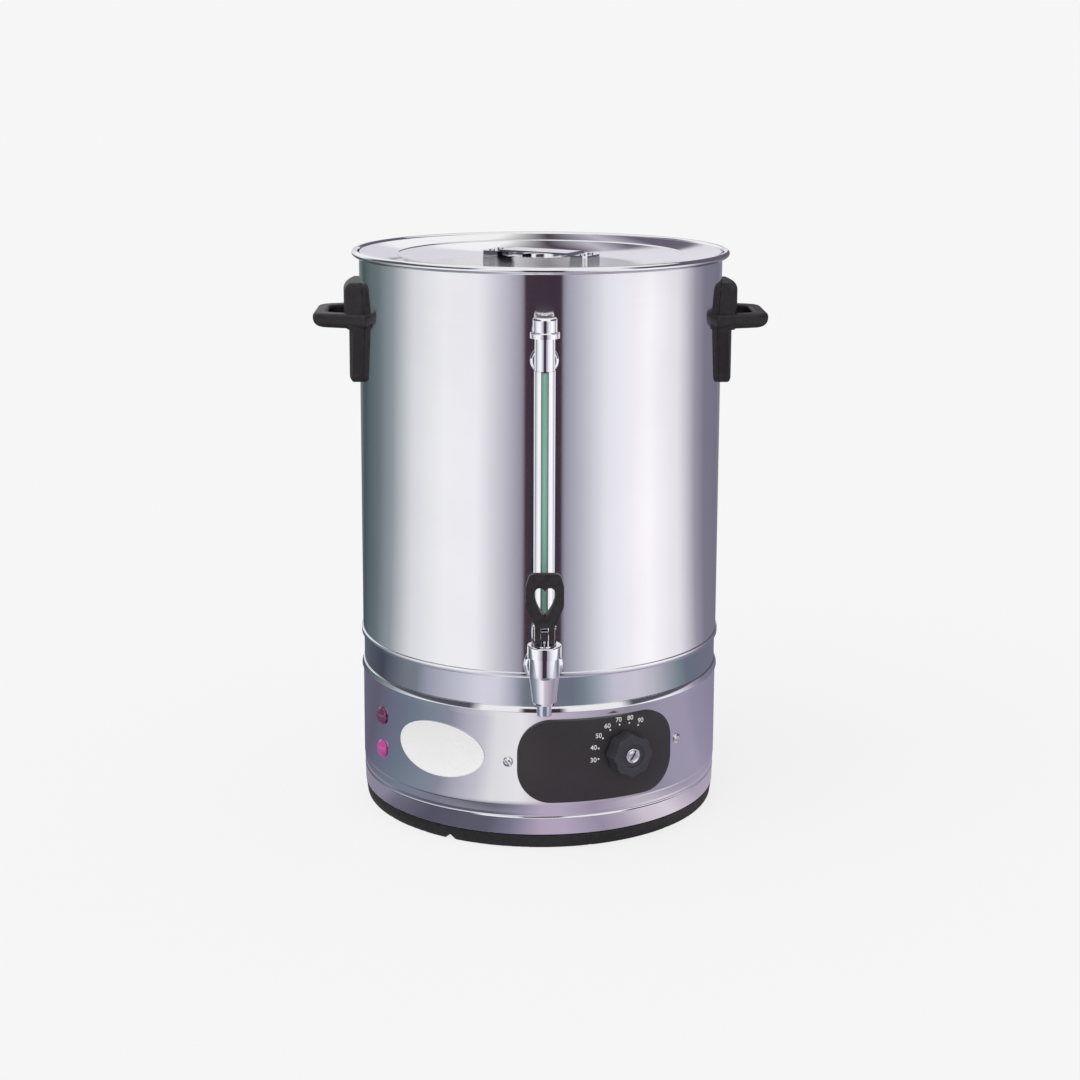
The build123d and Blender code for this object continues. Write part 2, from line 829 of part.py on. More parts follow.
# ======== Lamps and badge ========
dome_rise = lamp_dome - lamp_rim
dome_circle = (lamp_radius**2 + dome_rise**2) / (2 * dome_rise)
half_rise = sqrt(dome_circle**2 - lamp_radius**2 / 4) - dome_circle
for place, height in lamp_heights.items():
    lamp_line = wall_plane(lamp_angle, 0, height)
    lamp_section = Plane(lamp_line.origin, x_dir=lamp_line.x_dir, z_dir=-lamp_line.y_dir)
    with BuildPart() as lamp_lens:
        with BuildSketch(lamp_section):
            with BuildLine():
                Line((0, panel_seat), (lamp_radius, panel_seat))
                Line((lamp_radius, panel_seat), (lamp_radius, panel_seat + lamp_rim))
                ThreePointArc(
                    (lamp_radius, panel_seat + lamp_rim),
                    (lamp_radius / 2, panel_seat + lamp_dome + half_rise),
                    (0, panel_seat + lamp_dome),
                )
                Line((0, panel_seat + lamp_dome), (0, panel_seat))
            make_face()
        revolve(axis=Axis(lamp_line.origin, lamp_line.z_dir))
    save(lamp_lens, f"{place}_lamp_lens")

with BuildPart() as lamp_holders:
    for height in lamp_heights.values():
        lamp_line = wall_plane(lamp_angle, 0, height)
        holder_back = body_radius - lamp_holder_length
        nut_back = shell_inner - loose - lamp_nut_height
        rod(lamp_line, lamp_holder_radius, holder_back, body_radius)
        rod(lamp_line, lamp_holder_radius + lamp_nut_width, nut_back, shell_inner - loose)
        with BuildSketch(lamp_line.offset(holder_back - tab_length)):
            with GridLocations(lamp_tab_pitch, 0, 2, 1):
                Rectangle(tab_sheet, lamp_tab_width)
        extrude(amount=tab_length)
save(lamp_holders, "lamp_holders")

with BuildPart() as name_badge:
    add(tube_between(panel_seat, panel_seat + badge_thickness, 0, 2 * badge_centre))
    with BuildSketch(wall_plane(badge_angle, 0, badge_centre)):
        Ellipse(panel_seat * sin(badge_width / 2 / panel_seat), badge_height / 2)
    extrude(amount=2 * body_radius, mode=Mode.INTERSECT)
save(name_badge, "name_badge")

# ======== Heater ========
# The element is one bent tube; its two ends pass through the tank's floor in sealed bushings.
leg_end = tank_floor - leg_below_floor
collar_top = flange_bottom + bushing_collar_height
with BuildPart() as heating_element:
    with BuildLine() as heater_path:
        FilletPolyline(
            (-leg_half_gap, loop_half_width, leg_end),
            (-leg_half_gap, loop_half_width, loop_height),
            (-loop_half_width, loop_half_width, loop_height),
            (-loop_half_width, -loop_half_width, loop_height),
            (loop_half_width, -loop_half_width, loop_height),
            (loop_half_width, loop_half_width, loop_height),
            (leg_half_gap, loop_half_width, loop_height),
            (leg_half_gap, loop_half_width, leg_end),
            radius=(leg_bend, loop_corner, loop_corner, loop_corner, loop_corner, leg_bend),
        )
    with BuildSketch(Plane(heater_path.line @ 0, z_dir=heater_path.line % 0)):
        Circle(heater_radius)
    sweep()
    for x, y in legs:
        leg = upright(x, y)
        rod(leg, bushing_radius, bushing_bottom, collar_top)
        rod(leg, bushing_radius + bushing_collar, flange_bottom, collar_top)
        rod(leg, element_pin_radius, bushing_bottom - element_pin_length, bushing_bottom + past)
save(heating_element, "heating_element")

with BuildPart() as element_seals:
    with BuildSketch(Plane.XY.offset(tank_inside)):
        with Locations(*legs):
            Circle(bushing_radius + bushing_collar)
            Circle(bushing_radius + touch, mode=Mode.SUBTRACT)
    extrude(amount=flange_bottom - tank_inside)
save(element_seals, "element_seals")

with BuildPart() as element_nuts:
    for x, y in legs:
        leg = upright(x, y)
        nut_roof_height = tank_floor - touch
        nut_floor_height = nut_roof_height - element_nut_height
        hexagon(leg, element_nut_flats, bushing_radius + touch, nut_floor_height, nut_roof_height)
save(element_nuts, "element_nuts")

# The thermostat's bulb is strapped under the tank's floor and joined by a thin tube.
bulb_x, bulb_y = bulb_place
bulb_z = tank_floor - touch - bulb_radius
with BuildPart() as thermostat_bulb:
    rod(across(bulb_y, bulb_z), bulb_radius, bulb_x, bulb_x + bulb_length)
save(thermostat_bulb, "thermostat_bulb")

with BuildPart() as bulb_clip:
    with BuildSketch(Plane.YZ.offset(-clip_width / 2)):
        with Locations((bulb_y, bulb_z)):
            Circle(bulb_radius + touch + skin)
            with Locations((0, bulb_radius / 2)):
                Rectangle(2 * (bulb_radius + touch + skin), bulb_radius)
        with Locations((bulb_y, tank_floor - touch - skin / 2)):
            Rectangle(clip_length, skin)
        with Locations((bulb_y, bulb_z)):
            Circle(bulb_radius + touch, mode=Mode.SUBTRACT)
            with Locations((0, bulb_radius)):
                Rectangle(2 * (bulb_radius + touch), 2 * bulb_radius, mode=Mode.SUBTRACT)
    extrude(amount=clip_width)
save(bulb_clip, "bulb_clip")

bulb_end = bulb_x + bulb_length
tube_x, tube_y, tube_end = at(knob_angle, thermostat_back + capillary_inset, thermostat_top)
with BuildPart() as thermostat_capillary:
    with BuildLine() as capillary_path:
        FilletPolyline(
            (bulb_end, bulb_y, bulb_z),
            (tube_x, bulb_y, bulb_z),
            (tube_x, tube_y, bulb_z - capillary_fall),
            (tube_x, tube_y, tube_end),
            radius=capillary_bend,
        )
    with BuildSketch(Plane(capillary_path.line @ 0, z_dir=capillary_path.line % 0)):
        Circle(capillary_radius)
    sweep()
save(thermostat_capillary, "thermostat_capillary")

# A cut-out switch sits against the tank's floor and breaks the circuit if the tank boils dry.
cutout_top = tank_floor - touch
with BuildPart() as thermal_cutout:
    with BuildSketch(Plane.XY.offset(cutout_top)):
        with Locations(cutout_place):
            SlotOverall(cutout_length, cutout_width)
            with GridLocations(cutout_hole_pitch, 0, 2, 1):
                Circle(cutout_hole, mode=Mode.SUBTRACT)
    extrude(amount=-cutout_sheet)
    with BuildSketch(Plane.XY.offset(cutout_top - cutout_sheet)):
        with Locations(cutout_place):
            Circle(cutout_can)
    extrude(amount=-cutout_can_height)
    with BuildSketch(Plane.XY.offset(cutout_top - cutout_sheet - cutout_can_height)):
        with Locations(cutout_place):
            with GridLocations(cutout_tab_pitch, 0, 2, 1):
                Rectangle(tab_sheet, tab_width)
    extrude(amount=-tab_length)
save(thermal_cutout, "thermal_cutout")

# ======== Mains entry ========
block_length, block_width, block_height = block_size
block_top = plate_top + block_height
screw_top = block_top - terminal_well_depth + terminal_screw_height
with BuildPart() as terminal_block:
    with BuildSketch(Plane.XY.offset(plate_top)):
        with Locations(block_place):
            Rectangle(block_length, block_width)
    extrude(amount=block_height)
    fillet(terminal_block.edges().group_by(Axis.Z)[-1], block_round)
    with BuildSketch(Plane.XY.offset(block_top)):
        with Locations(block_place):
            Rectangle(block_length, block_ridge)
    extrude(amount=block_ridge_height)
    with BuildSketch(Plane.XY.offset(block_top)):
        with Locations(block_place):
            with GridLocations(terminal_pitch, terminal_row_pitch, 3, 2):
                Circle(terminal_well)
    extrude(amount=-terminal_well_depth, mode=Mode.SUBTRACT)
save(terminal_block, "terminal_block")

with BuildPart() as terminal_screws:
    with BuildSketch(Plane.XY.offset(screw_top)):
        with Locations(block_place):
            with GridLocations(terminal_pitch, terminal_row_pitch, 3, 2):
                Circle(terminal_screw_radius)
    extrude(amount=-terminal_screw_height)
    with BuildSketch(Plane.XY.offset(screw_top)):
        with Locations(block_place):
            with GridLocations(terminal_pitch, terminal_row_pitch, 3, 2):
                Rectangle(2 * terminal_screw_radius + past, terminal_slot)
    extrude(amount=-past, mode=Mode.SUBTRACT)
save(terminal_screws, "terminal_screws")

# The earth stud is welded to the plate's upper side, so the foot's recess stays clear.
earth = upright(*earth_place)
weld_top = plate_top + stud_head_height
with BuildPart() as earth_stud:
    rod(earth, stud_radius, plate_top, plate_top + stud_length)
    rod(earth, stud_radius + stud_head, plate_top, weld_top)
save(earth_stud, "earth_stud")

with BuildPart() as earth_nut:
    hexagon(earth, earth_nut_flats, stud_radius + running, weld_top, weld_top + earth_nut_height)
save(earth_nut, "earth_nut")

dome_start = panel_seat + gland_flange_height
with BuildPart() as cord_gland:
    rod(rear_line, gland_radius, shell_inner - gland_inside, panel_seat + past)
    rod(rear_line, gland_radius + gland_flange, panel_seat, dome_start)
    with BuildSketch(rear_line.offset(dome_start)):
        Circle(gland_radius + gland_dome_step)
    extrude(amount=gland_dome_length, taper=gland_dome_draft)
    fillet(cord_gland.faces().sort_by(Axis.Y)[-1].edges(), gland_dome_round)
    rod(rear_line, gland_bore, 0, dome_start + gland_dome_length + past, Mode.SUBTRACT)
save(cord_gland, "cord_gland")

with BuildPart() as gland_nut:
    nut_front = shell_inner - gland_nut_gap
    nut_rear = nut_front - gland_nut_height
    hexagon(rear_line, gland_nut_flats, gland_radius + running, nut_rear, nut_front)
save(gland_nut, "gland_nut")

# ======== Side handles ========
# A moulded pad follows the shell and is thicker above the grip, which is a loop for the hand.
pad_inner = body_radius + touch
pad_outer = body_radius + handle_plate
boss_outer = body_radius + handle_boss
loop_outer = body_radius + grip_reach
loop_inner = loop_outer - grip_bar
root = body_radius - grip_root
tip_half_width = grip_half_width - grip_taper
with BuildPart() as handle_pad:
    with BuildSketch(Plane.XZ) as pad_section:
        with BuildLine():
            Polyline(
                (pad_inner, handle_bottom),
                (pad_outer, handle_bottom),
                (pad_outer, grip_bottom),
                (boss_outer, grip_bottom),
                (boss_outer, handle_top),
                (pad_inner, handle_top),
                close=True,
            )
        make_face()
        fillet(corner(pad_section, boss_outer, handle_top), handle_boss_round)
        fillet(corner(pad_section, pad_outer, handle_bottom), handle_toe_round)
    revolve(axis=Axis.Z)
    with BuildSketch(Plane.YZ) as pad_outline:
        toe_half = handle_plate_half_width - handle_toe_narrowing
        top_half = handle_plate_half_width - handle_top_narrowing
        waist_half = handle_plate_half_width + handle_waist
        with BuildLine():
            Polyline(
                (-toe_half, handle_bottom),
                (toe_half, handle_bottom),
                (waist_half, grip_bottom),
                (top_half, handle_top),
                (-top_half, handle_top),
                (-waist_half, grip_bottom),
                close=True,
            )
        make_face()
        fillet(pad_outline.vertices(), handle_plate_corner)
    extrude(amount=2 * body_radius, mode=Mode.INTERSECT)

with BuildPart() as right_handle:
    with BuildSketch(Plane.XY.offset(grip_bottom)) as grip_outline:
        with BuildLine():
            Polyline(
                (root, -grip_half_width),
                (loop_outer, -tip_half_width),
                (loop_outer, tip_half_width),
                (root, grip_half_width),
                close=True,
            )
        make_face()
        fillet(grip_outline.vertices().sort_by(Axis.X)[-2:], grip_corner)
    extrude(amount=grip_height)
    for level, rounding in ((-1, grip_top_round), (0, grip_under_round)):
        level_edges = right_handle.edges().group_by(Axis.Z)[level]
        outside = level_edges.filter_by_position(Axis.X, root + past, 2 * body_radius)
        fillet(outside, rounding)
    with BuildSketch(Plane.XY.offset(grip_bottom)) as finger_gap:
        with BuildLine():
            Polyline(
                (root, grip_arm - grip_half_width),
                (loop_inner, grip_arm - tip_half_width),
                (loop_inner, tip_half_width - grip_arm),
                (root, grip_half_width - grip_arm),
                close=True,
            )
        make_face()
        fillet(finger_gap.vertices().sort_by(Axis.X)[-2:], gap_corner)
    extrude(amount=grip_height, mode=Mode.SUBTRACT)
    gap_edges = right_handle.edges(Select.LAST).filter_by(Axis.Z, reverse=True)
    fillet(gap_edges.filter_by_position(Axis.X, root + past, 2 * body_radius), gap_round)
    add(handle_pad.part)
    with Locations((0, 0, grip_bottom)):
        Cylinder(pad_inner, 4 * grip_height, mode=Mode.SUBTRACT)
    for height in handle_screws:
        screw_line = wall_plane(90, 0, height)
        hole_end = pad_outer - handle_screw_end
        rod(screw_line, handle_shank + running, 0, hole_end, Mode.SUBTRACT)
save(right_handle, "right_handle")

with BuildPart() as left_handle:
    mirror(right_handle.part, about=Plane.YZ)
save(left_handle, "left_handle")

with BuildPart() as handle_screw_set:
    for side in (-90, 90):
        for height in handle_screws:
            screw_line = wall_plane(side, 0, height)
            head_front = shell_inner - touch
            rod(screw_line, handle_shank, head_front - past, pad_outer - handle_screw_end - loose)
            rod(screw_line, handle_head, head_front - handle_head_height, head_front)
save(handle_screw_set, "handle_screws")

# ======== Level gauge ========
# The glass stands in a socket on the tap and in a fitting near the rim, inside a slotted guard.
guard_bottom = socket_top + touch
guard_top = gauge_fixing - gauge_stub_radius - guard_end_gap
column_bottom = guard_top + touch
socket_bottom = socket_top - glass_below
cap_ceiling = gauge_cap_top - gauge_cap_roof
flange_back = panel_seat + gauge_flange_gap
flange_front = flange_back + gauge_flange_sheet
gauge_inside = tank_inner - gauge_stub_end
top_socket = guard_radius - socket_wall
with BuildPart() as gauge_top_fitting:
    rod(gauge_line, gauge_flange, flange_back, flange_front)
    fillet(gauge_top_fitting.faces().sort_by(Axis.Y)[0].edges(), gauge_flange_round)
    rod(gauge_axis, guard_radius - column_inset, column_bottom, gauge_top)
    rod(gauge_axis, spigot_radius, gauge_top, cap_ceiling)
    rod(gauge_line, gauge_stub_radius + gauge_branch_step, flange_front - past, -gauge_y)
    rod(gauge_line, gauge_stub_radius, gauge_inside, flange_back + past)
    rod(gauge_axis, top_socket, column_bottom, gauge_fixing + seal_above, Mode.SUBTRACT)
    glass_end = gauge_fixing + glass_above + glass_end_gap
    rod(gauge_axis, glass_radius + touch, column_bottom, glass_end, Mode.SUBTRACT)
    rod(gauge_axis, gauge_air_hole, gauge_fixing, cap_ceiling, Mode.SUBTRACT)
    rod(gauge_line, gauge_stub_radius / 2, gauge_inside, -gauge_y, Mode.SUBTRACT)
save(gauge_top_fitting, "gauge_top_fitting")

with BuildPart() as gauge_cap:
    rod(gauge_axis, gauge_collar_radius, gauge_top, gauge_top + gauge_collar_height)
    fillet(gauge_cap.edges().group_by(Axis.Z)[-1], gauge_collar_round)
    rod(gauge_axis, gauge_cap_radius, gauge_top + past, gauge_cap_top)
    fillet(gauge_cap.edges().group_by(Axis.Z)[-1], gauge_cap_round)
    rod(gauge_axis, spigot_radius + running, gauge_top, cap_ceiling + loose, Mode.SUBTRACT)
save(gauge_cap, "gauge_cap")

with BuildPart() as gauge_top_nut:
    nut_front = tank_inner - loose
    nut_rear = nut_front - gauge_nut_height
    hexagon(gauge_line, gauge_nut_flats, gauge_stub_radius + running, nut_rear, nut_front)
save(gauge_top_nut, "gauge_top_nut")

with BuildPart() as gauge_top_spacer:
    rod(gauge_line, gauge_stub_radius + gauge_spacer_wall, 0, body_radius)
    rod(gauge_line, gauge_stub_radius + touch, 0, body_radius, Mode.SUBTRACT)
    add(tube_between(tank_outer + touch, collar_outer, hem_bottom, rim_top), mode=Mode.INTERSECT)
save(gauge_top_spacer, "gauge_top_spacer")

with BuildPart() as gauge_guard:
    with BuildSketch(gauge_axis.offset(guard_bottom)):
        Circle(guard_radius)
        Circle(guard_radius - guard_wall, mode=Mode.SUBTRACT)
        with Locations((0, -guard_radius)):
            Rectangle(guard_slot, 2 * guard_radius, mode=Mode.SUBTRACT)
    extrude(amount=guard_top - guard_bottom)
save(gauge_guard, "gauge_guard")

with BuildPart() as gauge_glass:
    with BuildSketch(gauge_axis.offset(socket_bottom)):
        Circle(glass_radius)
        Circle(glass_radius - glass_wall, mode=Mode.SUBTRACT)
    extrude(amount=gauge_fixing + glass_above - socket_bottom)
save(gauge_glass, "gauge_glass")

# A coloured strip along the front of the glass makes the water level easy to read.
with BuildPart() as gauge_strip:
    with BuildSketch(gauge_axis.offset(guard_bottom + strip_end_gap)):
        Circle(glass_radius + running + strip_sheet)
        Circle(glass_radius + running, mode=Mode.SUBTRACT)
        with Locations((0, -glass_radius)):
            Rectangle(strip_width, strip_width, mode=Mode.INTERSECT)
    extrude(amount=guard_top - guard_bottom - 2 * strip_end_gap)
save(gauge_strip, "gauge_strip")

with BuildPart() as gauge_seals:
    seal_bottoms = (
        (socket_top - socket_depth + past, socket_radius),
        (gauge_fixing + seal_above - seal_height, top_socket),
    )
    for low, radius in seal_bottoms:
        rod(gauge_axis, radius - running, low, low + seal_height)
    rod(gauge_axis, glass_radius + running, 0, rim_top, Mode.SUBTRACT)
save(gauge_seals, "gauge_seals")

# ======== Tap ========
# The shank runs through shell and tank. A boss on it carries the lower end of the gauge.
arm_start = body_radius + gauge_reach + guard_radius + touch
neck_end = arm_start - loose
shank_back = tank_inner - shank_end
shank_seat = body_radius + shank_seal_height
shank_front = shank_seat + shank_flange_sheet
inlet_end = neck_end + inlet_length
bore_floor = tap_centre
with BuildPart() as tap_shank:
    rod(tap_line, shank_flange, shank_seat, shank_front)
    fillet(tap_shank.faces().sort_by(Axis.Y)[0].edges(), shank_flange_round)
    rod(tap_line, shank_radius, shank_back, shank_seat + past)
    rod(tap_line, shank_radius + shank_step, shank_front - past, neck_end)
    rod(tap_line, inlet_radius, neck_end - past, inlet_end)
    rod(gauge_axis, guard_radius, tap_centre, socket_top)
    rod(tap_line, shank_bore, shank_back, inlet_end + past, Mode.SUBTRACT)
    rod(gauge_axis, socket_radius, socket_top - socket_depth, socket_top, Mode.SUBTRACT)
    rod(gauge_axis, glass_radius + touch, socket_bottom - touch, socket_top, Mode.SUBTRACT)
    rod(gauge_axis, glass_radius - glass_wall - loose, bore_floor, socket_top, Mode.SUBTRACT)
save(tap_shank, "tap_shank")

hem_top = hem_bottom + hem_height
with BuildPart() as tap_outer_seal:
    rod(tap_line, shank_flange - shank_seal_inset, body_radius - hem_height, shank_seat)
    rod(tap_line, shank_radius + touch, body_radius - hem_height, shank_seat, Mode.SUBTRACT)
    with Locations((0, 0, tap_centre)):
        Cylinder(panel_seat, 4 * shank_flange, mode=Mode.SUBTRACT)
    with Locations((0, 0, hem_top + touch)):
        Cylinder(
            body_radius + hem_proud + touch,
            shank_flange,
            align=(Align.CENTER, Align.CENTER, Align.MAX),
            mode=Mode.SUBTRACT,
        )
save(tap_outer_seal, "tap_outer_seal")

with BuildPart() as tap_inner_seal:
    rod(tap_line, shank_flange - inner_seal_inset, tank_inner - inner_seal_height, tank_inner)
    add(tube_between(tank_inner / 2, tank_inner - touch, tank_inside, rim_top), mode=Mode.INTERSECT)
    rod(tap_line, shank_radius + touch, 0, body_radius, Mode.SUBTRACT)
save(tap_inner_seal, "tap_inner_seal")

with BuildPart() as tap_spacer:
    rod(tap_line, shank_radius + tap_spacer_wall, 0, body_radius)
    rod(tap_line, shank_radius + touch, 0, body_radius, Mode.SUBTRACT)
    add(tube_between(tank_outer + touch, collar_outer, tank_inside, rim_top), mode=Mode.INTERSECT)
save(tap_spacer, "tap_spacer")

with BuildPart() as tap_lock_nut:
    nut_front = tank_inner - inner_seal_height - touch
    nut_rear = nut_front - lock_nut_height
    hexagon(tap_line, lock_nut_flats, shank_radius + running, nut_rear, nut_front)
save(tap_lock_nut, "tap_lock_nut")

# The tap's body is a plated cone with a nozzle below and a water chamber inside.
body_shoulder = nut_bottom - nut_clear
nozzle_top = tap_taper_end - tap_tip_step
with BuildPart() as tap_body:
    with BuildSketch(Plane.XZ.offset(-tap_y)) as tap_section:
        with BuildLine():
            Polyline(
                (0, nozzle_end),
                (nozzle_radius, nozzle_end),
                (nozzle_radius, nozzle_top),
                (tap_tip_radius - tap_tip_bevel, nozzle_top),
                (tap_tip_radius, tap_taper_end),
                (tap_radius, tap_shoulder),
                (tap_radius, body_shoulder),
                (tap_neck_radius, body_shoulder),
                (tap_neck_radius, tap_top),
                (0, tap_top),
                close=True,
            )
        make_face()
        fillet(corner(tap_section, nozzle_radius, nozzle_end), nozzle_round)
        fillet(corner(tap_section, tap_radius, tap_shoulder), shoulder_round)
    revolve(axis=Axis((0, tap_y, 0), (0, 0, 1)))
    rod(tap_line, shank_radius + shank_step, arm_start, -tap_y)
    inlet_floor = inlet_end + inlet_end_gap
    rod(tap_line, inlet_radius + running, neck_end, inlet_floor, Mode.SUBTRACT)
    rod(tap_line, shank_bore, neck_end, -tap_y, Mode.SUBTRACT)
    rod(tap_axis, nozzle_bore, nozzle_end, tap_top, Mode.SUBTRACT)
    rod(tap_axis, chamber_radius, seat_height, tap_top, Mode.SUBTRACT)
save(tap_body, "tap_body")

roof_underside = nut_top - nut_roof
with BuildPart() as bonnet_ring:
    rod(tap_axis, nut_radius, nut_bottom, nut_top)
    fillet(bonnet_ring.edges().group_by(Axis.Z)[-1], nut_bevel)
    rod(tap_axis, tap_neck_radius + touch, nut_bottom, roof_underside, Mode.SUBTRACT)
    rod(tap_axis, bonnet_boss + touch, nut_bottom, nut_top, Mode.SUBTRACT)
save(bonnet_ring, "bonnet_ring")

ear_top = pin_height + ear_above
ear_bottom = bonnet_top - past
with BuildPart() as tap_bonnet:
    rod(tap_axis, chamber_radius - touch, spring_top, tap_top + past)
    rod(tap_axis, tap_neck_radius - touch, tap_top, roof_underside - touch)
    rod(tap_axis, bonnet_boss, tap_top, bonnet_top)
    for side in (-1, 1):
        with BuildSketch(Plane.YZ.offset(side * (heel_half_width + ear_sheet))) as ear:
            with Locations((tap_y, (ear_bottom + ear_top) / 2)):
                Rectangle(ear_width, ear_top - ear_bottom)
            fillet(ear.vertices().sort_by(Axis.Y)[-2:], ear_round)
        extrude(amount=ear_sheet / 2, both=True)
    rod(tap_axis, stem_radius + running, spring_top, bonnet_top, Mode.SUBTRACT)
save(tap_bonnet, "tap_bonnet")

# The stem lifts the rubber cup off its seat when the lever is tipped.
stem_bottom = seat_height + stem_in_cup
eye_half = slot_half_width - eye_gap
with BuildPart() as tap_stem:
    rod(tap_axis, stem_radius, stem_bottom, pin_height)
    with BuildSketch(Plane.YZ.offset(-eye_half)) as eye:
        with Locations((tap_y, pin_height + (eye_above - eye_below) / 2)):
            Rectangle(eye_width, eye_above + eye_below)
        fillet(eye.vertices().sort_by(Axis.Y)[-2:], eye_round)
    extrude(amount=2 * eye_half)
    rod(pin_line, pin_radius + running, -slot_half_width, slot_half_width, Mode.SUBTRACT)
save(tap_stem, "tap_stem")

with BuildPart() as seat_cup:
    rod(tap_axis, chamber_radius - cup_gap, seat_height + loose, spring_bottom)
    fillet(seat_cup.edges().group_by(Axis.Z)[0], cup_round)
    rod(tap_axis, stem_radius + touch, stem_bottom, spring_bottom, Mode.SUBTRACT)
save(seat_cup, "seat_cup")

with BuildPart() as tap_spring:
    spring_height = spring_top - spring_bottom - 2 * spring_wire
    spring_start = (0, tap_y, spring_bottom + spring_wire)
    with BuildLine() as coil:
        Helix(spring_pitch, spring_height, spring_radius, center=spring_start)
    with BuildSketch(Plane(coil.line @ 0, z_dir=coil.line % 0)):
        Circle(spring_wire)
    sweep(is_frenet=True)
save(tap_spring, "tap_spring")

with BuildPart() as pivot_pin:
    rod(pin_line, pin_radius, -heel_half_width, heel_half_width)
save(pivot_pin, "pivot_pin")

# The lever's heel is an off-centre disc: tipping it forward lifts the pin, and so the stem.
cam_y = tap_y - cam_offset
cam_front = cam_y - cam_radius
shoulder_height = pin_height + lever_shoulder
cheek_low = lever_top - lever_cheek_low
cheek_high = lever_top - lever_cheek_high
cut_depth = -tap_y + 2 * lever_half_width
with BuildPart() as tap_lever:
    with BuildSketch(Plane.YZ.offset(-lever_half_width - past)):
        with BuildLine():
            Polyline(
                (cam_front, pin_height),
                (cam_front + lever_draft, lever_top),
                (cam_y - lever_tip_back, lever_top),
                (tap_y, pin_height + lever_back_rise),
                (tap_y, pin_height),
                close=True,
            )
        make_face()
        with Locations((cam_y, pin_height)):
            Circle(cam_radius)
        with Locations((tap_y, pin_height)):
            Circle(pin_radius + lever_hub)
    extrude(amount=2 * (lever_half_width + past))
    with BuildSketch(front) as lever_face:
        with BuildLine():
            Polyline(
                (-heel_half_width, pin_height - cam_radius - past),
                (-heel_half_width, shoulder_height),
                (-lever_half_width, cheek_low),
                (-lever_half_width, cheek_high),
                (lever_corner - lever_half_width, lever_top),
                (lever_half_width - lever_corner, lever_top),
                (lever_half_width, cheek_high),
                (lever_half_width, cheek_low),
                (heel_half_width, shoulder_height),
                (heel_half_width, pin_height - cam_radius - past),
                close=True,
            )
        make_face()
        for side in (-1, 1):
            fillet(corner(lever_face, side * heel_half_width, shoulder_height), lever_cheek_round)
            fillet(corner(lever_face, side * lever_half_width, cheek_low), lever_cheek_round)
            fillet(corner(lever_face, side * lever_half_width, cheek_high), lever_cheek_round)
            tip_corner = side * (lever_half_width - lever_corner)
            fillet(corner(lever_face, tip_corner, lever_top), lever_corner_round)
    extrude(amount=cut_depth, mode=Mode.INTERSECT)
    with BuildSketch(front):
        with BuildLine():
            for side in (-1, 1):
                ThreePointArc(
                    (0, lever_top - heart_point),
                    (side * heart_waist_half, lever_top - heart_waist),
                    (side * heart_half, lever_top - heart_wide),
                )
                ThreePointArc(
                    (side * heart_half, lever_top - heart_wide),
                    (side * heart_lobe_half, lever_top - heart_lobe),
                    (0, lever_top - heart_notch),
                )
        make_face()
    extrude(amount=cut_depth, mode=Mode.SUBTRACT)
    slot_bottom = pin_height - cam_radius - lever_hub
    with BuildSketch(Plane.XY.offset(slot_bottom)):
        with Locations((0, tap_y)):
            Rectangle(2 * slot_half_width, 6 * cam_radius)
    extrude(amount=pin_height + slot_above - slot_bottom, mode=Mode.SUBTRACT)
    rod(pin_line, pin_radius + running, -lever_half_width, lever_half_width, Mode.SUBTRACT)
save(tap_lever, "tap_lever")

# ======== Lid ========
# The lid is a thin pressing that drops inside the rim; its strap bridges a finger pocket.
lid_edge = bead_r - rim_bead - lid_edge_gap
slope_end = lid_edge - lid_lip_width
lid_top = rim_top - lid_top_drop
with BuildPart() as lid_panel:
    with BuildSketch(Plane.XZ) as lid_section:
        with BuildLine():
            Polyline(
                (0, pocket_floor),
                (pocket_radius, pocket_floor),
                (pocket_radius, lid_floor),
                (lid_floor_radius, lid_floor),
                (slope_end, lid_top),
                (lid_edge, lid_top),
                (lid_edge, ledge_top + loose),
                (lid_edge - skin, ledge_top + loose),
                (lid_edge - skin, lid_top - skin),
                (slope_end, lid_top - skin),
                (lid_floor_radius, lid_floor - skin),
                (pocket_radius + skin, lid_floor - skin),
                (pocket_radius + skin, pocket_floor - skin),
                (0, pocket_floor - skin),
                close=True,
            )
        make_face()
        fillet(corner(lid_section, pocket_radius, lid_floor), pocket_round)
        fillet(corner(lid_section, pocket_radius + skin, lid_floor - skin), pocket_round - skin)
        fillet(corner(lid_section, pocket_radius + skin, pocket_floor - skin), pocket_round)
        fillet(corner(lid_section, pocket_radius, pocket_floor), pocket_round - skin)
        fillet(corner(lid_section, lid_edge, lid_top), lid_edge_round)
    revolve(axis=Axis.Z)
    with BuildSketch(Plane.XY.offset(lid_floor)):
        with PolarLocations(0, 1, strap_angle):
            with GridLocations(strap_length - strap_foot, rivet_pitch, 2, 2):
                Circle(rivet_radius + touch)
    extrude(amount=-skin, mode=Mode.SUBTRACT)
save(lid_panel, "lid_panel")

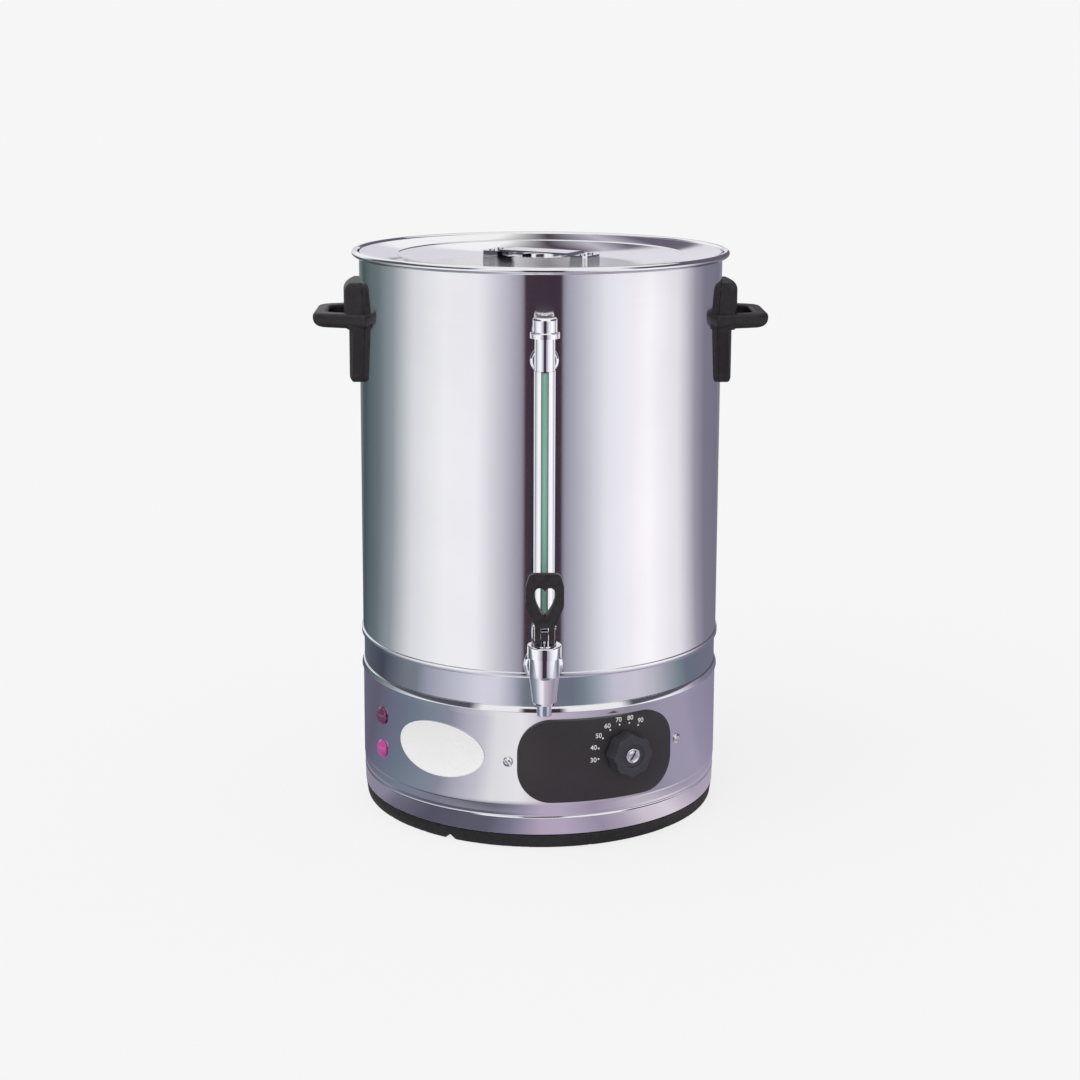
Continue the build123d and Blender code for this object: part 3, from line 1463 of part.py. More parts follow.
strap_line = wall_plane(strap_angle, 0, lid_floor)
half_length = strap_length / 2
foot_end = half_length - strap_foot
ramp_end = foot_end - strap_ramp
with BuildPart() as lid_strap:
    with BuildSketch(strap_line):
        with BuildLine():
            Polyline(
                (-half_length, 0),
                (-foot_end, 0),
                (-ramp_end, strap_rise - strap_sheet),
                (ramp_end, strap_rise - strap_sheet),
                (foot_end, 0),
                (half_length, 0),
                (half_length, strap_sheet),
                (foot_end, strap_sheet),
                (ramp_end, strap_rise),
                (-ramp_end, strap_rise),
                (-foot_end, strap_sheet),
                (-half_length, strap_sheet),
                close=True,
            )
        make_face()
    extrude(amount=strap_width / 2, both=True)
    fillet(lid_strap.edges().filter_by(Axis.Z), strap_corner)
    with BuildSketch(Plane.XY.offset(lid_floor)):
        with PolarLocations(0, 1, strap_angle):
            with GridLocations(strap_length - strap_foot, rivet_pitch, 2, 2):
                Circle(rivet_radius + touch)
    extrude(amount=strap_sheet, mode=Mode.SUBTRACT)
save(lid_strap, "lid_strap")

with BuildPart() as lid_rivets:
    under_lid = lid_floor - skin
    over_strap = lid_floor + strap_sheet
    rivet_steps = (
        (under_lid - rivet_head_height, under_lid, rivet_head),
        (under_lid - rivet_head_height / 2, over_strap + rivet_head_height / 2, rivet_radius),
        (over_strap, over_strap + rivet_head_height, rivet_head),
    )
    for low, high, radius in rivet_steps:
        with BuildSketch(Plane.XY.offset(low)):
            with PolarLocations(0, 1, strap_angle):
                with GridLocations(strap_length - strap_foot, rivet_pitch, 2, 2):
                    Circle(radius)
        extrude(amount=high - low)
save(lid_rivets, "lid_rivets")

# A thin ring under the lid keeps it centred in the tank's mouth.
slope = (lid_top - lid_floor) / (slope_end - lid_floor_radius)
ring_outer = tank_inner - spigot_gap
ring_inner = ring_outer - skin
seat = lid_floor - skin - skim
with BuildPart() as lid_spigot:
    with BuildSketch(Plane.XZ):
        with BuildLine():
            Polyline(
                (ring_inner, lid_floor - spigot_depth),
                (ring_outer, lid_floor - spigot_depth),
                (ring_outer, seat + slope * (ring_outer - lid_floor_radius)),
                (ring_inner, seat + slope * (ring_inner - lid_floor_radius)),
                close=True,
            )
        make_face()
    revolve(axis=Axis.Z)
save(lid_spigot, "lid_spigot")
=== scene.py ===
# %% [markdown]
# # A hot water urn, dressed in Blender
# The urn's pieces already exist as solids: Blender loads them as a fixed frame and never moves
# them. Each lesson below takes one finish or one piece, says what it is on the real urn, how it
# could be made and why this way was chosen. Lengths are metres, +Z is up and the tap faces -Y.

# %% Load the frame
import json
import math

import bmesh
import bpy
from mathutils import Matrix, Vector


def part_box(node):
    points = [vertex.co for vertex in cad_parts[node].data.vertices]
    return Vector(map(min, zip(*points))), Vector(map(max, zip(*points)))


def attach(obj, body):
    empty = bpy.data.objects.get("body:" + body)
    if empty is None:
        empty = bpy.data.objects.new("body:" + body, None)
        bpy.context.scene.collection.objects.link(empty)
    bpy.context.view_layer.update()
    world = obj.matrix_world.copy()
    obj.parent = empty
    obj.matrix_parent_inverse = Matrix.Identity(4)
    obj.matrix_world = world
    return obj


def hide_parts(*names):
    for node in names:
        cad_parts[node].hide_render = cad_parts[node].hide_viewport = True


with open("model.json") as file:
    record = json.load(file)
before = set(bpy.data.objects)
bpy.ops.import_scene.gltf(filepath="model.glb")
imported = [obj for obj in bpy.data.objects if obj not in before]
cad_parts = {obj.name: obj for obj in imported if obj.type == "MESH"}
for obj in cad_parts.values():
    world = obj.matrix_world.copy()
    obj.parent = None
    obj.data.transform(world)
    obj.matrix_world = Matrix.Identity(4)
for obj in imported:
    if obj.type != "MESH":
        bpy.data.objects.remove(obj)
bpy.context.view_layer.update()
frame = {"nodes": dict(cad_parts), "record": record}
nodes = frame["nodes"]

# %% [markdown]
# ## The camera
# The urn is seen from a little above its rim's height, from the front and a touch from the left.
# A long lens keeps its sides nearly parallel. The camera looks down at the urn, and a small
# shift of the frame does the rest, because more tilt would make the sides lean together.

# %% Camera
FOCAL_LENGTH = 68.6  # millimetres, as is the sensor's width
SENSOR_WIDTH = 36.0
CAMERA_DISTANCE = 1.701
CAMERA_HEIGHT = 0.6287
CAMERA_PITCH = math.radians(10.61)
CAMERA_SWING = math.radians(-1.2)
CAMERA_ROLL = math.radians(0.2)
FRAME_SHIFT = -0.1
QUARTER_TURN = math.pi / 2

camera_data = bpy.data.cameras.new("studio_camera")
camera_data.lens = FOCAL_LENGTH
camera_data.sensor_width = SENSOR_WIDTH
camera_data.shift_y = FRAME_SHIFT
camera = bpy.data.objects.new("studio_camera", camera_data)
bpy.context.scene.collection.objects.link(camera)
camera.matrix_world = (
    Matrix.Rotation(CAMERA_SWING, 4, "Z")
    @ Matrix.Translation((0, -CAMERA_DISTANCE, CAMERA_HEIGHT))
    @ Matrix.Rotation(QUARTER_TURN - CAMERA_PITCH, 4, "X")
    @ Matrix.Rotation(CAMERA_ROLL, 4, "Z")
)
bpy.context.scene.camera = camera
bpy.context.scene.view_settings.view_transform = "Standard"
print("camera at", [round(x, 3) for x in camera.matrix_world.translation])

# %% [markdown]
# ## The studio
# The floor and the backdrop are one plain white. The camera sees it nearly as it is written, with
# a trace of the urn's soft shadow on the floor. Matt surfaces are lit by a plain even sky and a
# wide soft sun from the upper left, so a colour comes out about as it is written.

# %% Helpers for nodes
MIX_FIRST, MIX_SECOND, MIX_RESULT = 6, 7, 2  # the sockets of a Mix node that is set to colour


def new_material(name):
    """An empty node material, with its output node."""
    material = bpy.data.materials.new(name)
    material.use_nodes = True
    tree = material.node_tree
    tree.nodes.clear()
    output = tree.nodes.new("ShaderNodeOutputMaterial")
    return material, tree, output


def add_node(tree, kind, **values):
    """A node with its plain settings and its unlinked sockets set."""
    node = tree.nodes.new(kind)
    for key, value in values.items():
        if key in node.inputs:
            node.inputs[key].default_value = value
        else:
            setattr(node, key, value)
    return node


def calculate(tree, operation, first, second):
    """One sum of two sockets or numbers."""
    node = add_node(tree, "ShaderNodeMath", operation=operation)
    for number, value in enumerate((first, second)):
        if isinstance(value, (int, float)):
            node.inputs[number].default_value = value
        else:
            tree.links.new(value, node.inputs[number])
    return node.outputs[0]


def spread_between(tree, value, source, result=(0, 1), **settings):
    """Maps a value from one range to another."""
    step = add_node(tree, "ShaderNodeMapRange", **settings)
    step.inputs["From Min"].default_value, step.inputs["From Max"].default_value = source
    step.inputs["To Min"].default_value, step.inputs["To Max"].default_value = result
    tree.links.new(value, step.inputs["Value"])
    return step.outputs["Result"]


def mix_colours(tree, factor, first, second):
    """Mixes two colour sockets by a factor socket."""
    mix = add_node(tree, "ShaderNodeMix", data_type="RGBA")
    tree.links.new(factor, mix.inputs["Factor"])
    tree.links.new(first, mix.inputs[MIX_FIRST])
    tree.links.new(second, mix.inputs[MIX_SECOND])
    return mix.outputs[MIX_RESULT]


def mix_shaders(tree, factor, first, second):
    """Mixes two shader nodes by a factor socket."""
    mix = tree.nodes.new("ShaderNodeMixShader")
    tree.links.new(factor, mix.inputs["Fac"])
    tree.links.new(first.outputs[0], mix.inputs[1])
    tree.links.new(second.outputs[0], mix.inputs[2])
    return mix.outputs[0]


# %% Helper for new pieces
def start_piece(add, name, **values):
    """Adds a shape by one of Blender's add operators, as the only one selected, and names it."""
    bpy.ops.object.select_all(action="DESELECT")
    add(**values)
    piece = bpy.context.object
    piece.name = name
    return piece


# %% Floor
FLOOR_SIZE = 60.0
FLOOR_LEVEL = -0.0003  # just under the foot ring, so the two faces stay apart
FLOOR_WHITE = (0.92, 0.92, 0.92, 1)
SHADOW_LIFT = 0.85  # how much of its white the camera sees without any shadow

floor = start_piece(
    bpy.ops.mesh.primitive_plane_add, "studio_floor", size=FLOOR_SIZE, location=(0, 0, FLOOR_LEVEL)
)
floor_paint, tree, output = new_material("floor_paint")
matt = add_node(tree, "ShaderNodeBsdfDiffuse", Color=FLOOR_WHITE)
plain = add_node(tree, "ShaderNodeEmission", Color=FLOOR_WHITE, Strength=1.0)
ray = tree.nodes.new("ShaderNodeLightPath")
lift = calculate(tree, "MULTIPLY", ray.outputs["Is Camera Ray"], SHADOW_LIFT)
tree.links.new(mix_shaders(tree, lift, matt, plain), output.inputs["Surface"])
floor.data.materials.append(floor_paint)
print("floor:", FLOOR_SIZE, "wide, at", FLOOR_LEVEL)

# %% World
SKY_LIGHT = 0.74
world = bpy.data.worlds.new("studio_light")
bpy.context.scene.world = world
world.use_nodes = True
tree = world.node_tree
tree.nodes.clear()
output = tree.nodes.new("ShaderNodeOutputWorld")
sky = add_node(tree, "ShaderNodeBackground", Color=(1, 1, 1, 1), Strength=SKY_LIGHT)
backdrop = add_node(tree, "ShaderNodeBackground", Color=FLOOR_WHITE, Strength=1.0)
ray = tree.nodes.new("ShaderNodeLightPath")
seen = calculate(tree, "MAXIMUM", ray.outputs["Is Camera Ray"], ray.outputs["Is Glossy Ray"])
seen = calculate(tree, "MAXIMUM", seen, ray.outputs["Is Transmission Ray"])
tree.links.new(mix_shaders(tree, seen, sky, backdrop), output.inputs["Surface"])

# %% Soft sun
SUN_TILT = math.radians(38)
SUN_TURN = math.radians(-50)
SUN_SPREAD = math.radians(60)
sun_data = bpy.data.lights.new("soft_sun", "SUN")
sun_data.energy = (1 - SKY_LIGHT) * math.pi / math.cos(SUN_TILT)
sun_data.angle = SUN_SPREAD
sun = bpy.data.objects.new("soft_sun", sun_data)
bpy.context.scene.collection.objects.link(sun)
sun.matrix_world = Matrix.Rotation(SUN_TURN, 4, "Z") @ Matrix.Rotation(SUN_TILT, 4, "X")
sun.visible_glossy = False
print("sky:", SKY_LIGHT, "sun:", round(sun_data.energy, 3))

# %% [markdown]
# ## What the steel sees
# Polished steel shows its surroundings more than itself. Large white reflectors stand left and
# right of the urn, a narrow dark gap stays between them in front, and grey screens close the
# sides. One round screen stands for all of them: it lies on the floor from the urn's foot out to
# three metres and goes up from there. Only reflections see it, so it neither hides the backdrop
# nor throws a shadow. Each piece of the urn mirrors its own stretch of the screen, so the screen
# has one row of tones for each stretch, by the direction round the urn.

# %% Reflection screen
SCREEN_RADIUS = 3.0
SCREEN_HEIGHT = 3.2
SCREEN_INNER = 0.152
SCREEN_LEVEL = 0.0004  # just over the floor
SCREEN_CORNERS = 180

screen = start_piece(
    bpy.ops.mesh.primitive_circle_add, "reflection_screen",
    vertices=SCREEN_CORNERS, radius=SCREEN_INNER, location=(0, 0, SCREEN_LEVEL),
)
bpy.ops.object.mode_set(mode="EDIT")
bpy.ops.mesh.select_all(action="SELECT")
bpy.ops.mesh.extrude_region_move()
grow = SCREEN_RADIUS / SCREEN_INNER
bpy.ops.transform.resize(value=(grow, grow, 1))
bpy.ops.mesh.extrude_region_move(TRANSFORM_OT_translate={"value": (0, 0, SCREEN_HEIGHT)})
bpy.ops.object.mode_set(mode="OBJECT")
screen.visible_camera = False
screen.visible_diffuse = False
screen.visible_shadow = False
screen.visible_transmission = False
print("screen faces:", len(screen.data.polygons))

# %% Tones of the screen
DARK_GAP = (0.05, 0.032, 0.05)
DARK_SIDE = (0.09, 0.09, 0.12)
PURPLE_SHADE = (0.14, 0.12, 0.17)
SOFT_WHITE = (0.95, 0.95, 0.97)
# Each row: where it starts and is full, in metres along the screen, and its tones by the
# direction in degrees from the front towards +X.
SCREEN_ROWS = (
    # The floor next to the urn, which the skirting mirrors.
    (0.0, 0.0, (
        (-180, (0.30, 0.30, 0.33)), (-73, (0.28, 0.26, 0.34)), (-65, (0.18, 0.17, 0.24)),
        (-52, (0.13, 0.12, 0.17)), (-45, (0.10, 0.10, 0.14)), (-20, (0.12, 0.12, 0.17)),
        (-12, (0.21, 0.20, 0.29)), (0, (0.50, 0.42, 0.55)), (8, (0.51, 0.43, 0.57)),
        (22, (0.36, 0.30, 0.41)), (31, (0.46, 0.39, 0.50)), (41, (0.68, 0.61, 0.70)),
        (53, (0.77, 0.70, 0.77)), (64, (0.60, 0.52, 0.62)), (72, (0.46, 0.40, 0.50)),
        (120, (0.40, 0.35, 0.43)), (180, (0.30, 0.30, 0.33)),
    )),
    # The floor that the base above its step mirrors.
    (0.190, 0.200, (
        (-180, (0.60, 0.60, 0.63)), (-140, (0.14, 0.14, 0.20)), (-110, (0.13, 0.12, 0.18)),
        (-90, (0.16, 0.17, 0.25)), (-76, (0.17, 0.21, 0.27)), (-61, (0.22, 0.26, 0.32)),
        (-49, (0.28, 0.29, 0.36)), (-40, (0.46, 0.45, 0.54)), (-30, (0.62, 0.60, 0.68)),
        (-23, (0.81, 0.81, 0.84)), (-10, (0.90, 0.88, 0.91)), (-4, (0.78, 0.74, 0.80)),
        (2, (0.60, 0.52, 0.62)), (16, (0.50, 0.45, 0.56)), (29, (0.43, 0.38, 0.48)),
        (45, (0.33, 0.29, 0.36)), (55, (0.32, 0.29, 0.38)), (68, (0.37, 0.34, 0.45)),
        (88, (0.38, 0.34, 0.46)), (97, (0.33, 0.30, 0.42)), (130, (0.26, 0.24, 0.34)),
        (160, (0.25, 0.24, 0.30)), (180, (0.60, 0.60, 0.63)),
    )),
    # The floor that the band above the base mirrors.
    (0.445, 0.465, (
        (-180, (0.30, 0.30, 0.34)), (-150, (0.12, 0.14, 0.17)), (-109, (0.06, 0.07, 0.10)),
        (-96, (0.12, 0.14, 0.18)), (-86, (0.18, 0.20, 0.24)), (-76, (0.20, 0.23, 0.28)),
        (-67, (0.36, 0.37, 0.46)), (-50, (0.54, 0.55, 0.65)), (-33, (0.74, 0.72, 0.83)),
        (-24, (0.71, 0.70, 0.80)), (-16, (0.47, 0.47, 0.57)), (-9, (0.17, 0.19, 0.23)),
        (17, (0.16, 0.18, 0.24)), (24, (0.21, 0.25, 0.30)), (32, (0.37, 0.41, 0.49)),
        (41, (0.61, 0.59, 0.70)), (56, (0.66, 0.62, 0.72)), (67, (0.53, 0.52, 0.60)),
        (78, (0.35, 0.36, 0.43)), (87, (0.22, 0.27, 0.30)), (96, (0.16, 0.18, 0.24)),
        (150, (0.17, 0.17, 0.23)), (180, (0.30, 0.30, 0.34)),
    )),
    # The floor and the foot of the wall, which the shell mirrors.
    (0.590, 0.612, (
        (-180, (0.85, 0.85, 0.86)), (-162, (0.20, 0.23, 0.23)), (-147, (0.06, 0.09, 0.095)),
        (-121, (0.15, 0.19, 0.21)), (-104, (0.32, 0.36, 0.39)), (-85, (0.79, 0.80, 0.84)),
        (-61, (1.00, 1.00, 1.02)), (-40, (0.98, 0.97, 1.02)), (-20, (0.50, 0.49, 0.57)),
        (-11.5, (0.30, 0.28, 0.35)), (-10, DARK_GAP), (11.4, DARK_GAP), (13, (0.32, 0.31, 0.39)),
        (22, (0.48, 0.48, 0.57)), (39, (0.86, 0.86, 0.93)), (68, (1.12, 1.08, 1.12)),
        (93, (0.88, 0.85, 0.91)), (110, (0.36, 0.34, 0.42)), (122, (0.22, 0.21, 0.28)),
        (147, (0.19, 0.18, 0.24)), (162, (0.25, 0.24, 0.30)), (180, (0.85, 0.85, 0.86)),
    )),
    # The wall, which the lid's floor mirrors.
    (3.25, 3.40, (
        (-180, (0.74, 0.72, 0.79)), (-171, (0.68, 0.66, 0.72)), (-163, (0.80, 0.79, 0.84)),
        (-135, SOFT_WHITE), (-118, DARK_SIDE), (-44, DARK_SIDE), (-36, SOFT_WHITE),
        (-14, SOFT_WHITE), (-10, DARK_GAP), (12, DARK_GAP), (16, SOFT_WHITE), (50, SOFT_WHITE),
        (58, DARK_SIDE), (150, PURPLE_SHADE), (166, PURPLE_SHADE), (168, (0.80, 0.78, 0.84)),
        (180, (0.74, 0.72, 0.79)),
    )),
    # The upper wall, which the lid's slope mirrors.
    (3.96, 4.04, (
        (-180, SOFT_WHITE), (-135, SOFT_WHITE), (-118, DARK_SIDE), (-44, DARK_SIDE),
        (-36, SOFT_WHITE), (50, SOFT_WHITE), (58, DARK_SIDE), (150, PURPLE_SHADE),
        (176.9, PURPLE_SHADE), (177.2, (0.55, 0.52, 0.60)), (177.7, (0.55, 0.52, 0.60)),
        (178.0, DARK_GAP), (178.9, DARK_GAP), (179.2, SOFT_WHITE), (180, SOFT_WHITE),
    )),
)

# %% Screen cloth
# Distances are taken from a spot a little in front of the axis, because the urn's flanks mirror
# the floor nearer to it than its front does.
SPOT_FORWARD = 0.035

screen_cloth, tree, output = new_material("screen_cloth")
place = tree.nodes.new("ShaderNodeTexCoord")
split = tree.nodes.new("ShaderNodeSeparateXYZ")
tree.links.new(place.outputs["Object"], split.inputs[0])
# Turn from the front towards +X, as a share of a whole turn: 0 and 1 behind, 0.5 in front.
forward = calculate(tree, "MULTIPLY", split.outputs["Y"], -1)
turn_angle = calculate(tree, "ARCTAN2", split.outputs["X"], forward)
share = spread_between(tree, turn_angle, (-math.pi, math.pi))
# Metres along the screen: out over the floor and then up the wall.
flat_place = tree.nodes.new("ShaderNodeCombineXYZ")
from_spot = calculate(tree, "ADD", split.outputs["Y"], SPOT_FORWARD)
tree.links.new(split.outputs["X"], flat_place.inputs["X"])
tree.links.new(from_spot, flat_place.inputs["Y"])
reach = add_node(tree, "ShaderNodeVectorMath", operation="LENGTH")
tree.links.new(flat_place.outputs[0], reach.inputs[0])
along = calculate(tree, "ADD", reach.outputs["Value"], split.outputs["Z"])

last_tone = None
for start, full, tones in SCREEN_ROWS:
    ramp = tree.nodes.new("ShaderNodeValToRGB")
    stops = ramp.color_ramp.elements
    for number, (degrees, tone) in enumerate(tones):
        position = (degrees + 180) / 360
        stop = stops[number] if number < 2 else stops.new(position)
        stop.position = position
        stop.color = (*tone, 1)
    tree.links.new(share, ramp.inputs["Fac"])
    row_tone = ramp.outputs["Color"]
    if last_tone is not None:
        step = spread_between(tree, along, (start, full), interpolation_type="SMOOTHSTEP")
        row_tone = mix_colours(tree, step, last_tone, row_tone)
    last_tone = row_tone
glow = tree.nodes.new("ShaderNodeEmission")
tree.links.new(last_tone, glow.inputs["Color"])
tree.links.new(glow.outputs[0], output.inputs["Surface"])
screen.data.materials.append(screen_cloth)
print("rows of tones:", len(SCREEN_ROWS))

# %% [markdown]
# ## Modelling by turning
# Most of an urn is turned or rolled. A lathe hand draws half a section and spins it. Here a single
# vertex is placed, pushed from corner to corner, its corners are bevelled into curves, and the
# line is spun round the urn's axis. Each corner is given as reach, height and rounding.

# %% Helpers for modelling
MM = 0.001
ROUND_STEPS = 192
CORNER_STEPS = 4
WELD = 0.000002
NEAR = 5 * WELD  # how close to its corner a vertex is found
SMOOTH_ANGLE = math.radians(40)


def select_parts(piece, kind, test):
    """Selects a piece's verts or edges that pass a test, in edit mode."""
    modes = {"verts": "VERT", "edges": "EDGE"}
    bpy.ops.mesh.select_mode(type=modes[kind])
    bpy.ops.mesh.select_all(action="DESELECT")
    mesh = bmesh.from_edit_mesh(piece.data)
    for part in getattr(mesh, kind):
        part.select_set(test(part))
    mesh.select_flush_mode()
    bmesh.update_edit_mesh(piece.data)


def only(piece):
    """Makes a piece the one selected and active object."""
    bpy.ops.object.select_all(action="DESELECT")
    piece.select_set(True)
    bpy.context.view_layer.objects.active = piece


def close_up(piece):
    """Merges doubles, turns faces outwards and shades the piece smooth but for its edges."""
    only(piece)
    bpy.ops.object.mode_set(mode="EDIT")
    bpy.ops.mesh.select_all(action="SELECT")
    bpy.ops.mesh.remove_doubles(threshold=WELD)
    bpy.ops.mesh.normals_make_consistent(inside=False)
    bpy.ops.object.mode_set(mode="OBJECT")
    bpy.ops.object.shade_smooth_by_angle(angle=SMOOTH_ANGLE)


def settle(piece):
    """Puts the piece's place, turn and scale into its mesh."""
    only(piece)
    bpy.ops.object.transform_apply(location=True, rotation=True, scale=True)


def turn_section(name, corners, closed=True, steps=ROUND_STEPS):
    """Draws a section beside the upright axis, rounds its corners and spins it round."""
    reach, height = corners[0][:2]
    start = (reach, 0, height)
    piece = start_piece(bpy.ops.mesh.primitive_plane_add, name, size=MM, location=start)
    settle(piece)
    bpy.ops.object.mode_set(mode="EDIT")
    bpy.ops.mesh.select_mode(type="VERT")
    bpy.ops.mesh.select_all(action="SELECT")
    bpy.ops.mesh.merge(type="CENTER")
    path = list(corners) + ([corners[0]] if closed else [])
    for here, there in zip(path, path[1:]):
        step = (there[0] - here[0], 0, there[1] - here[1])
        bpy.ops.mesh.extrude_vertices_move(TRANSFORM_OT_translate={"value": step})
    bpy.ops.mesh.select_all(action="SELECT")
    bpy.ops.mesh.remove_doubles(threshold=WELD)
    for corner in corners:
        if len(corner) > 2:
            spot = Vector((corner[0], 0, corner[1]))
            select_parts(piece, "verts", lambda vert: (vert.co - spot).length < NEAR)
            bpy.ops.mesh.bevel(offset=corner[2], segments=CORNER_STEPS, affect="VERTICES")
    bpy.ops.mesh.select_all(action="SELECT")
    bpy.ops.mesh.spin(steps=steps, angle=2 * math.pi, center=(0, 0, 0), axis=(0, 0, 1))
    bpy.ops.object.mode_set(mode="OBJECT")
    close_up(piece)
    print(name, "faces:", len(piece.data.polygons))
    return piece


# %% [markdown]
# ## The shell
# The shell is a rolled sheet of polished steel. Its lower edge is folded outwards and back, which
# leaves a round hem. The sheet's ends meet at the rear in a welded seam, ground nearly flush. The
# wall is turned; the seam is a long low strip with rounded edges.

# %% Shell
SHEET = 0.8 * MM
CREASE = 0.2 * MM  # the fine rounding where a sheet is folded
HEM_PROUD = 1.2 * MM
HEM_HEIGHT = 4.0 * MM
HEM_ROUND = 0.35 * MM
shell_low, shell_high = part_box("outer_shell")
HEM = shell_high.x
SHELL = HEM - HEM_PROUD
hem_top = shell_low.z + HEM_HEIGHT
shell_skin = turn_section("shell_skin", (
    (SHELL - SHEET, shell_low.z),
    (HEM, shell_low.z, HEM_ROUND),
    (HEM, hem_top, HEM_ROUND),
    (SHELL, hem_top, CREASE),
    (SHELL, shell_high.z),
    (SHELL - SHEET, shell_high.z),
))
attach(shell_skin, "urn")
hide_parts("outer_shell")

# %% Seam
SEAM_WIDTH = 2.6 * MM
SEAM_DEPTH = 1.0 * MM
SEAM_PROUD = 0.25 * MM
SEAM_ROUND = 0.35 * MM
SEAM_STEPS = 3
seam_height = shell_high.z - hem_top
seam_place = (0, SHELL + SEAM_PROUD - SEAM_DEPTH / 2, hem_top + seam_height / 2)
shell_seam = start_piece(
    bpy.ops.mesh.primitive_cube_add, "shell_seam", size=1, location=seam_place
)
shell_seam.scale = (SEAM_WIDTH, SEAM_DEPTH, seam_height)
settle(shell_seam)
bpy.ops.object.mode_set(mode="EDIT")
select_parts(shell_seam, "edges", lambda edge: abs(edge.verts[0].co.z - edge.verts[1].co.z) > SHEET)
bpy.ops.mesh.bevel(offset=SEAM_ROUND, segments=SEAM_STEPS)
bpy.ops.object.mode_set(mode="OBJECT")
close_up(shell_seam)
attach(shell_seam, "urn")
print("seam faces:", len(shell_seam.data.polygons))

# %% [markdown]
# ## The tank and its rim
# The tank is pressed from one sheet. Its mouth is bent outwards into a ledge and rolled over a
# wire, which makes the round bead at the urn's top. The bead's arc starts under the ledge, runs
# round the outside and ends on top of the ledge.


# %% Helper for arcs
def arc_corners(centre, radius, start, end, steps):
    """Corners along an arc of a section, from one angle in degrees to another."""
    corners = []
    for number in range(steps + 1):
        angle = math.radians(start + (end - start) * number / steps)
        corners.append((centre[0] + radius * math.cos(angle), centre[1] + radius * math.sin(angle)))
    return corners


# %% Tank
TANK_WALL = 1.0 * MM
AIR_GAP = 9.0 * MM
TANK_CORNER = 8.0 * MM
RIM_BEAD = 2.6 * MM
RIM_START = -75
RIM_STEPS = 20
tank_low, tank_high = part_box("inner_tank")
tank_reach = SHELL - SHEET - AIR_GAP
tank_inside = tank_reach - TANK_WALL
tank_floor_top = tank_low.z + TANK_WALL
bead_reach = tank_high.x - RIM_BEAD
bead_height = tank_high.z - RIM_BEAD
ledge_top = bead_height - RIM_BEAD + TANK_WALL / 2
ledge_low = ledge_top - TANK_WALL
rim_end = 180 + math.degrees(math.asin((bead_height - ledge_top) / RIM_BEAD))
tank_pressing = turn_section("tank_pressing", (
    (0, tank_low.z),
    (tank_reach, tank_low.z, TANK_CORNER),
    (tank_reach, ledge_low, TANK_WALL),
    (bead_reach, ledge_low),
    *arc_corners((bead_reach, bead_height), RIM_BEAD, RIM_START, rim_end, RIM_STEPS),
    (tank_inside, ledge_top, 2 * TANK_WALL),
    (tank_inside, tank_floor_top, TANK_CORNER - TANK_WALL),
    (0, tank_floor_top),
), closed=False)
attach(tank_pressing, "urn")
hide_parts("inner_tank")

# %% [markdown]
# ## The lid
# The lid is a thin pressing. Its floor is flat, a ring slopes up to the edge, and a round pocket
# is pressed down in the middle so that fingers fit under the strap. A fine step where floor and
# slope meet stiffens it. The edge is turned down and sits on the ledge inside the rim.

# %% Lid
LID_FLOOR = 118.0 * MM
LID_STEP = 0.7 * MM
LID_STEP_ROUND = 0.6 * MM
LID_LIP = 2.4 * MM
LIP_ROUND = 0.7 * MM
LEDGE_GAP = 0.3 * MM
POCKET = 31.0 * MM
POCKET_ROUND = 3.0 * MM
lid_low, lid_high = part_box("lid_panel")
lid_edge = lid_high.x
edge_low = ledge_top + LEDGE_GAP
slope_end = lid_edge - LID_LIP
lid_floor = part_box("lid_strap")[0].z
pocket_low = lid_low.z + SHEET
lid_skin = turn_section("lid_skin", (
    (0, pocket_low),
    (POCKET, pocket_low, POCKET_ROUND - SHEET),
    (POCKET, lid_floor, POCKET_ROUND),
    (LID_FLOOR, lid_floor, LID_STEP_ROUND),
    (LID_FLOOR + LID_STEP, lid_floor + LID_STEP, LID_STEP_ROUND),
    (slope_end, lid_high.z, LID_STEP_ROUND),
    (lid_edge, lid_high.z, LIP_ROUND),
    (lid_edge, edge_low),
    (lid_edge - SHEET, edge_low),
    (lid_edge - SHEET, lid_high.z - SHEET),
    (slope_end, lid_high.z - SHEET),
    (LID_FLOOR, lid_floor - SHEET),
    (POCKET + SHEET, lid_floor - SHEET, POCKET_ROUND - SHEET),
    (POCKET + SHEET, lid_low.z, POCKET_ROUND),
    (0, lid_low.z),
), closed=False)
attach(lid_skin, "lid")
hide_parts("lid_panel")

# %% [markdown]
# ## The base housing
# The base is one rolled sheet with a ridged bead at its top, a small step above the skirting and a
# pressed groove below it. Its foot is flanged inwards, where the screws of the base plate hold.


# %% Helper for the groove
def groove_corners(reach, low, high, depth, steps):
    """Corners of a shallow round groove in a wall, between two heights."""
    half = (high - low) / 2
    radius = (half ** 2 + depth ** 2) / (2 * depth)
    spread = math.degrees(math.asin(half / radius))
    centre = (reach - depth + radius, low + half)
    return arc_corners(centre, radius, 180 + spread, 180 - spread, steps)


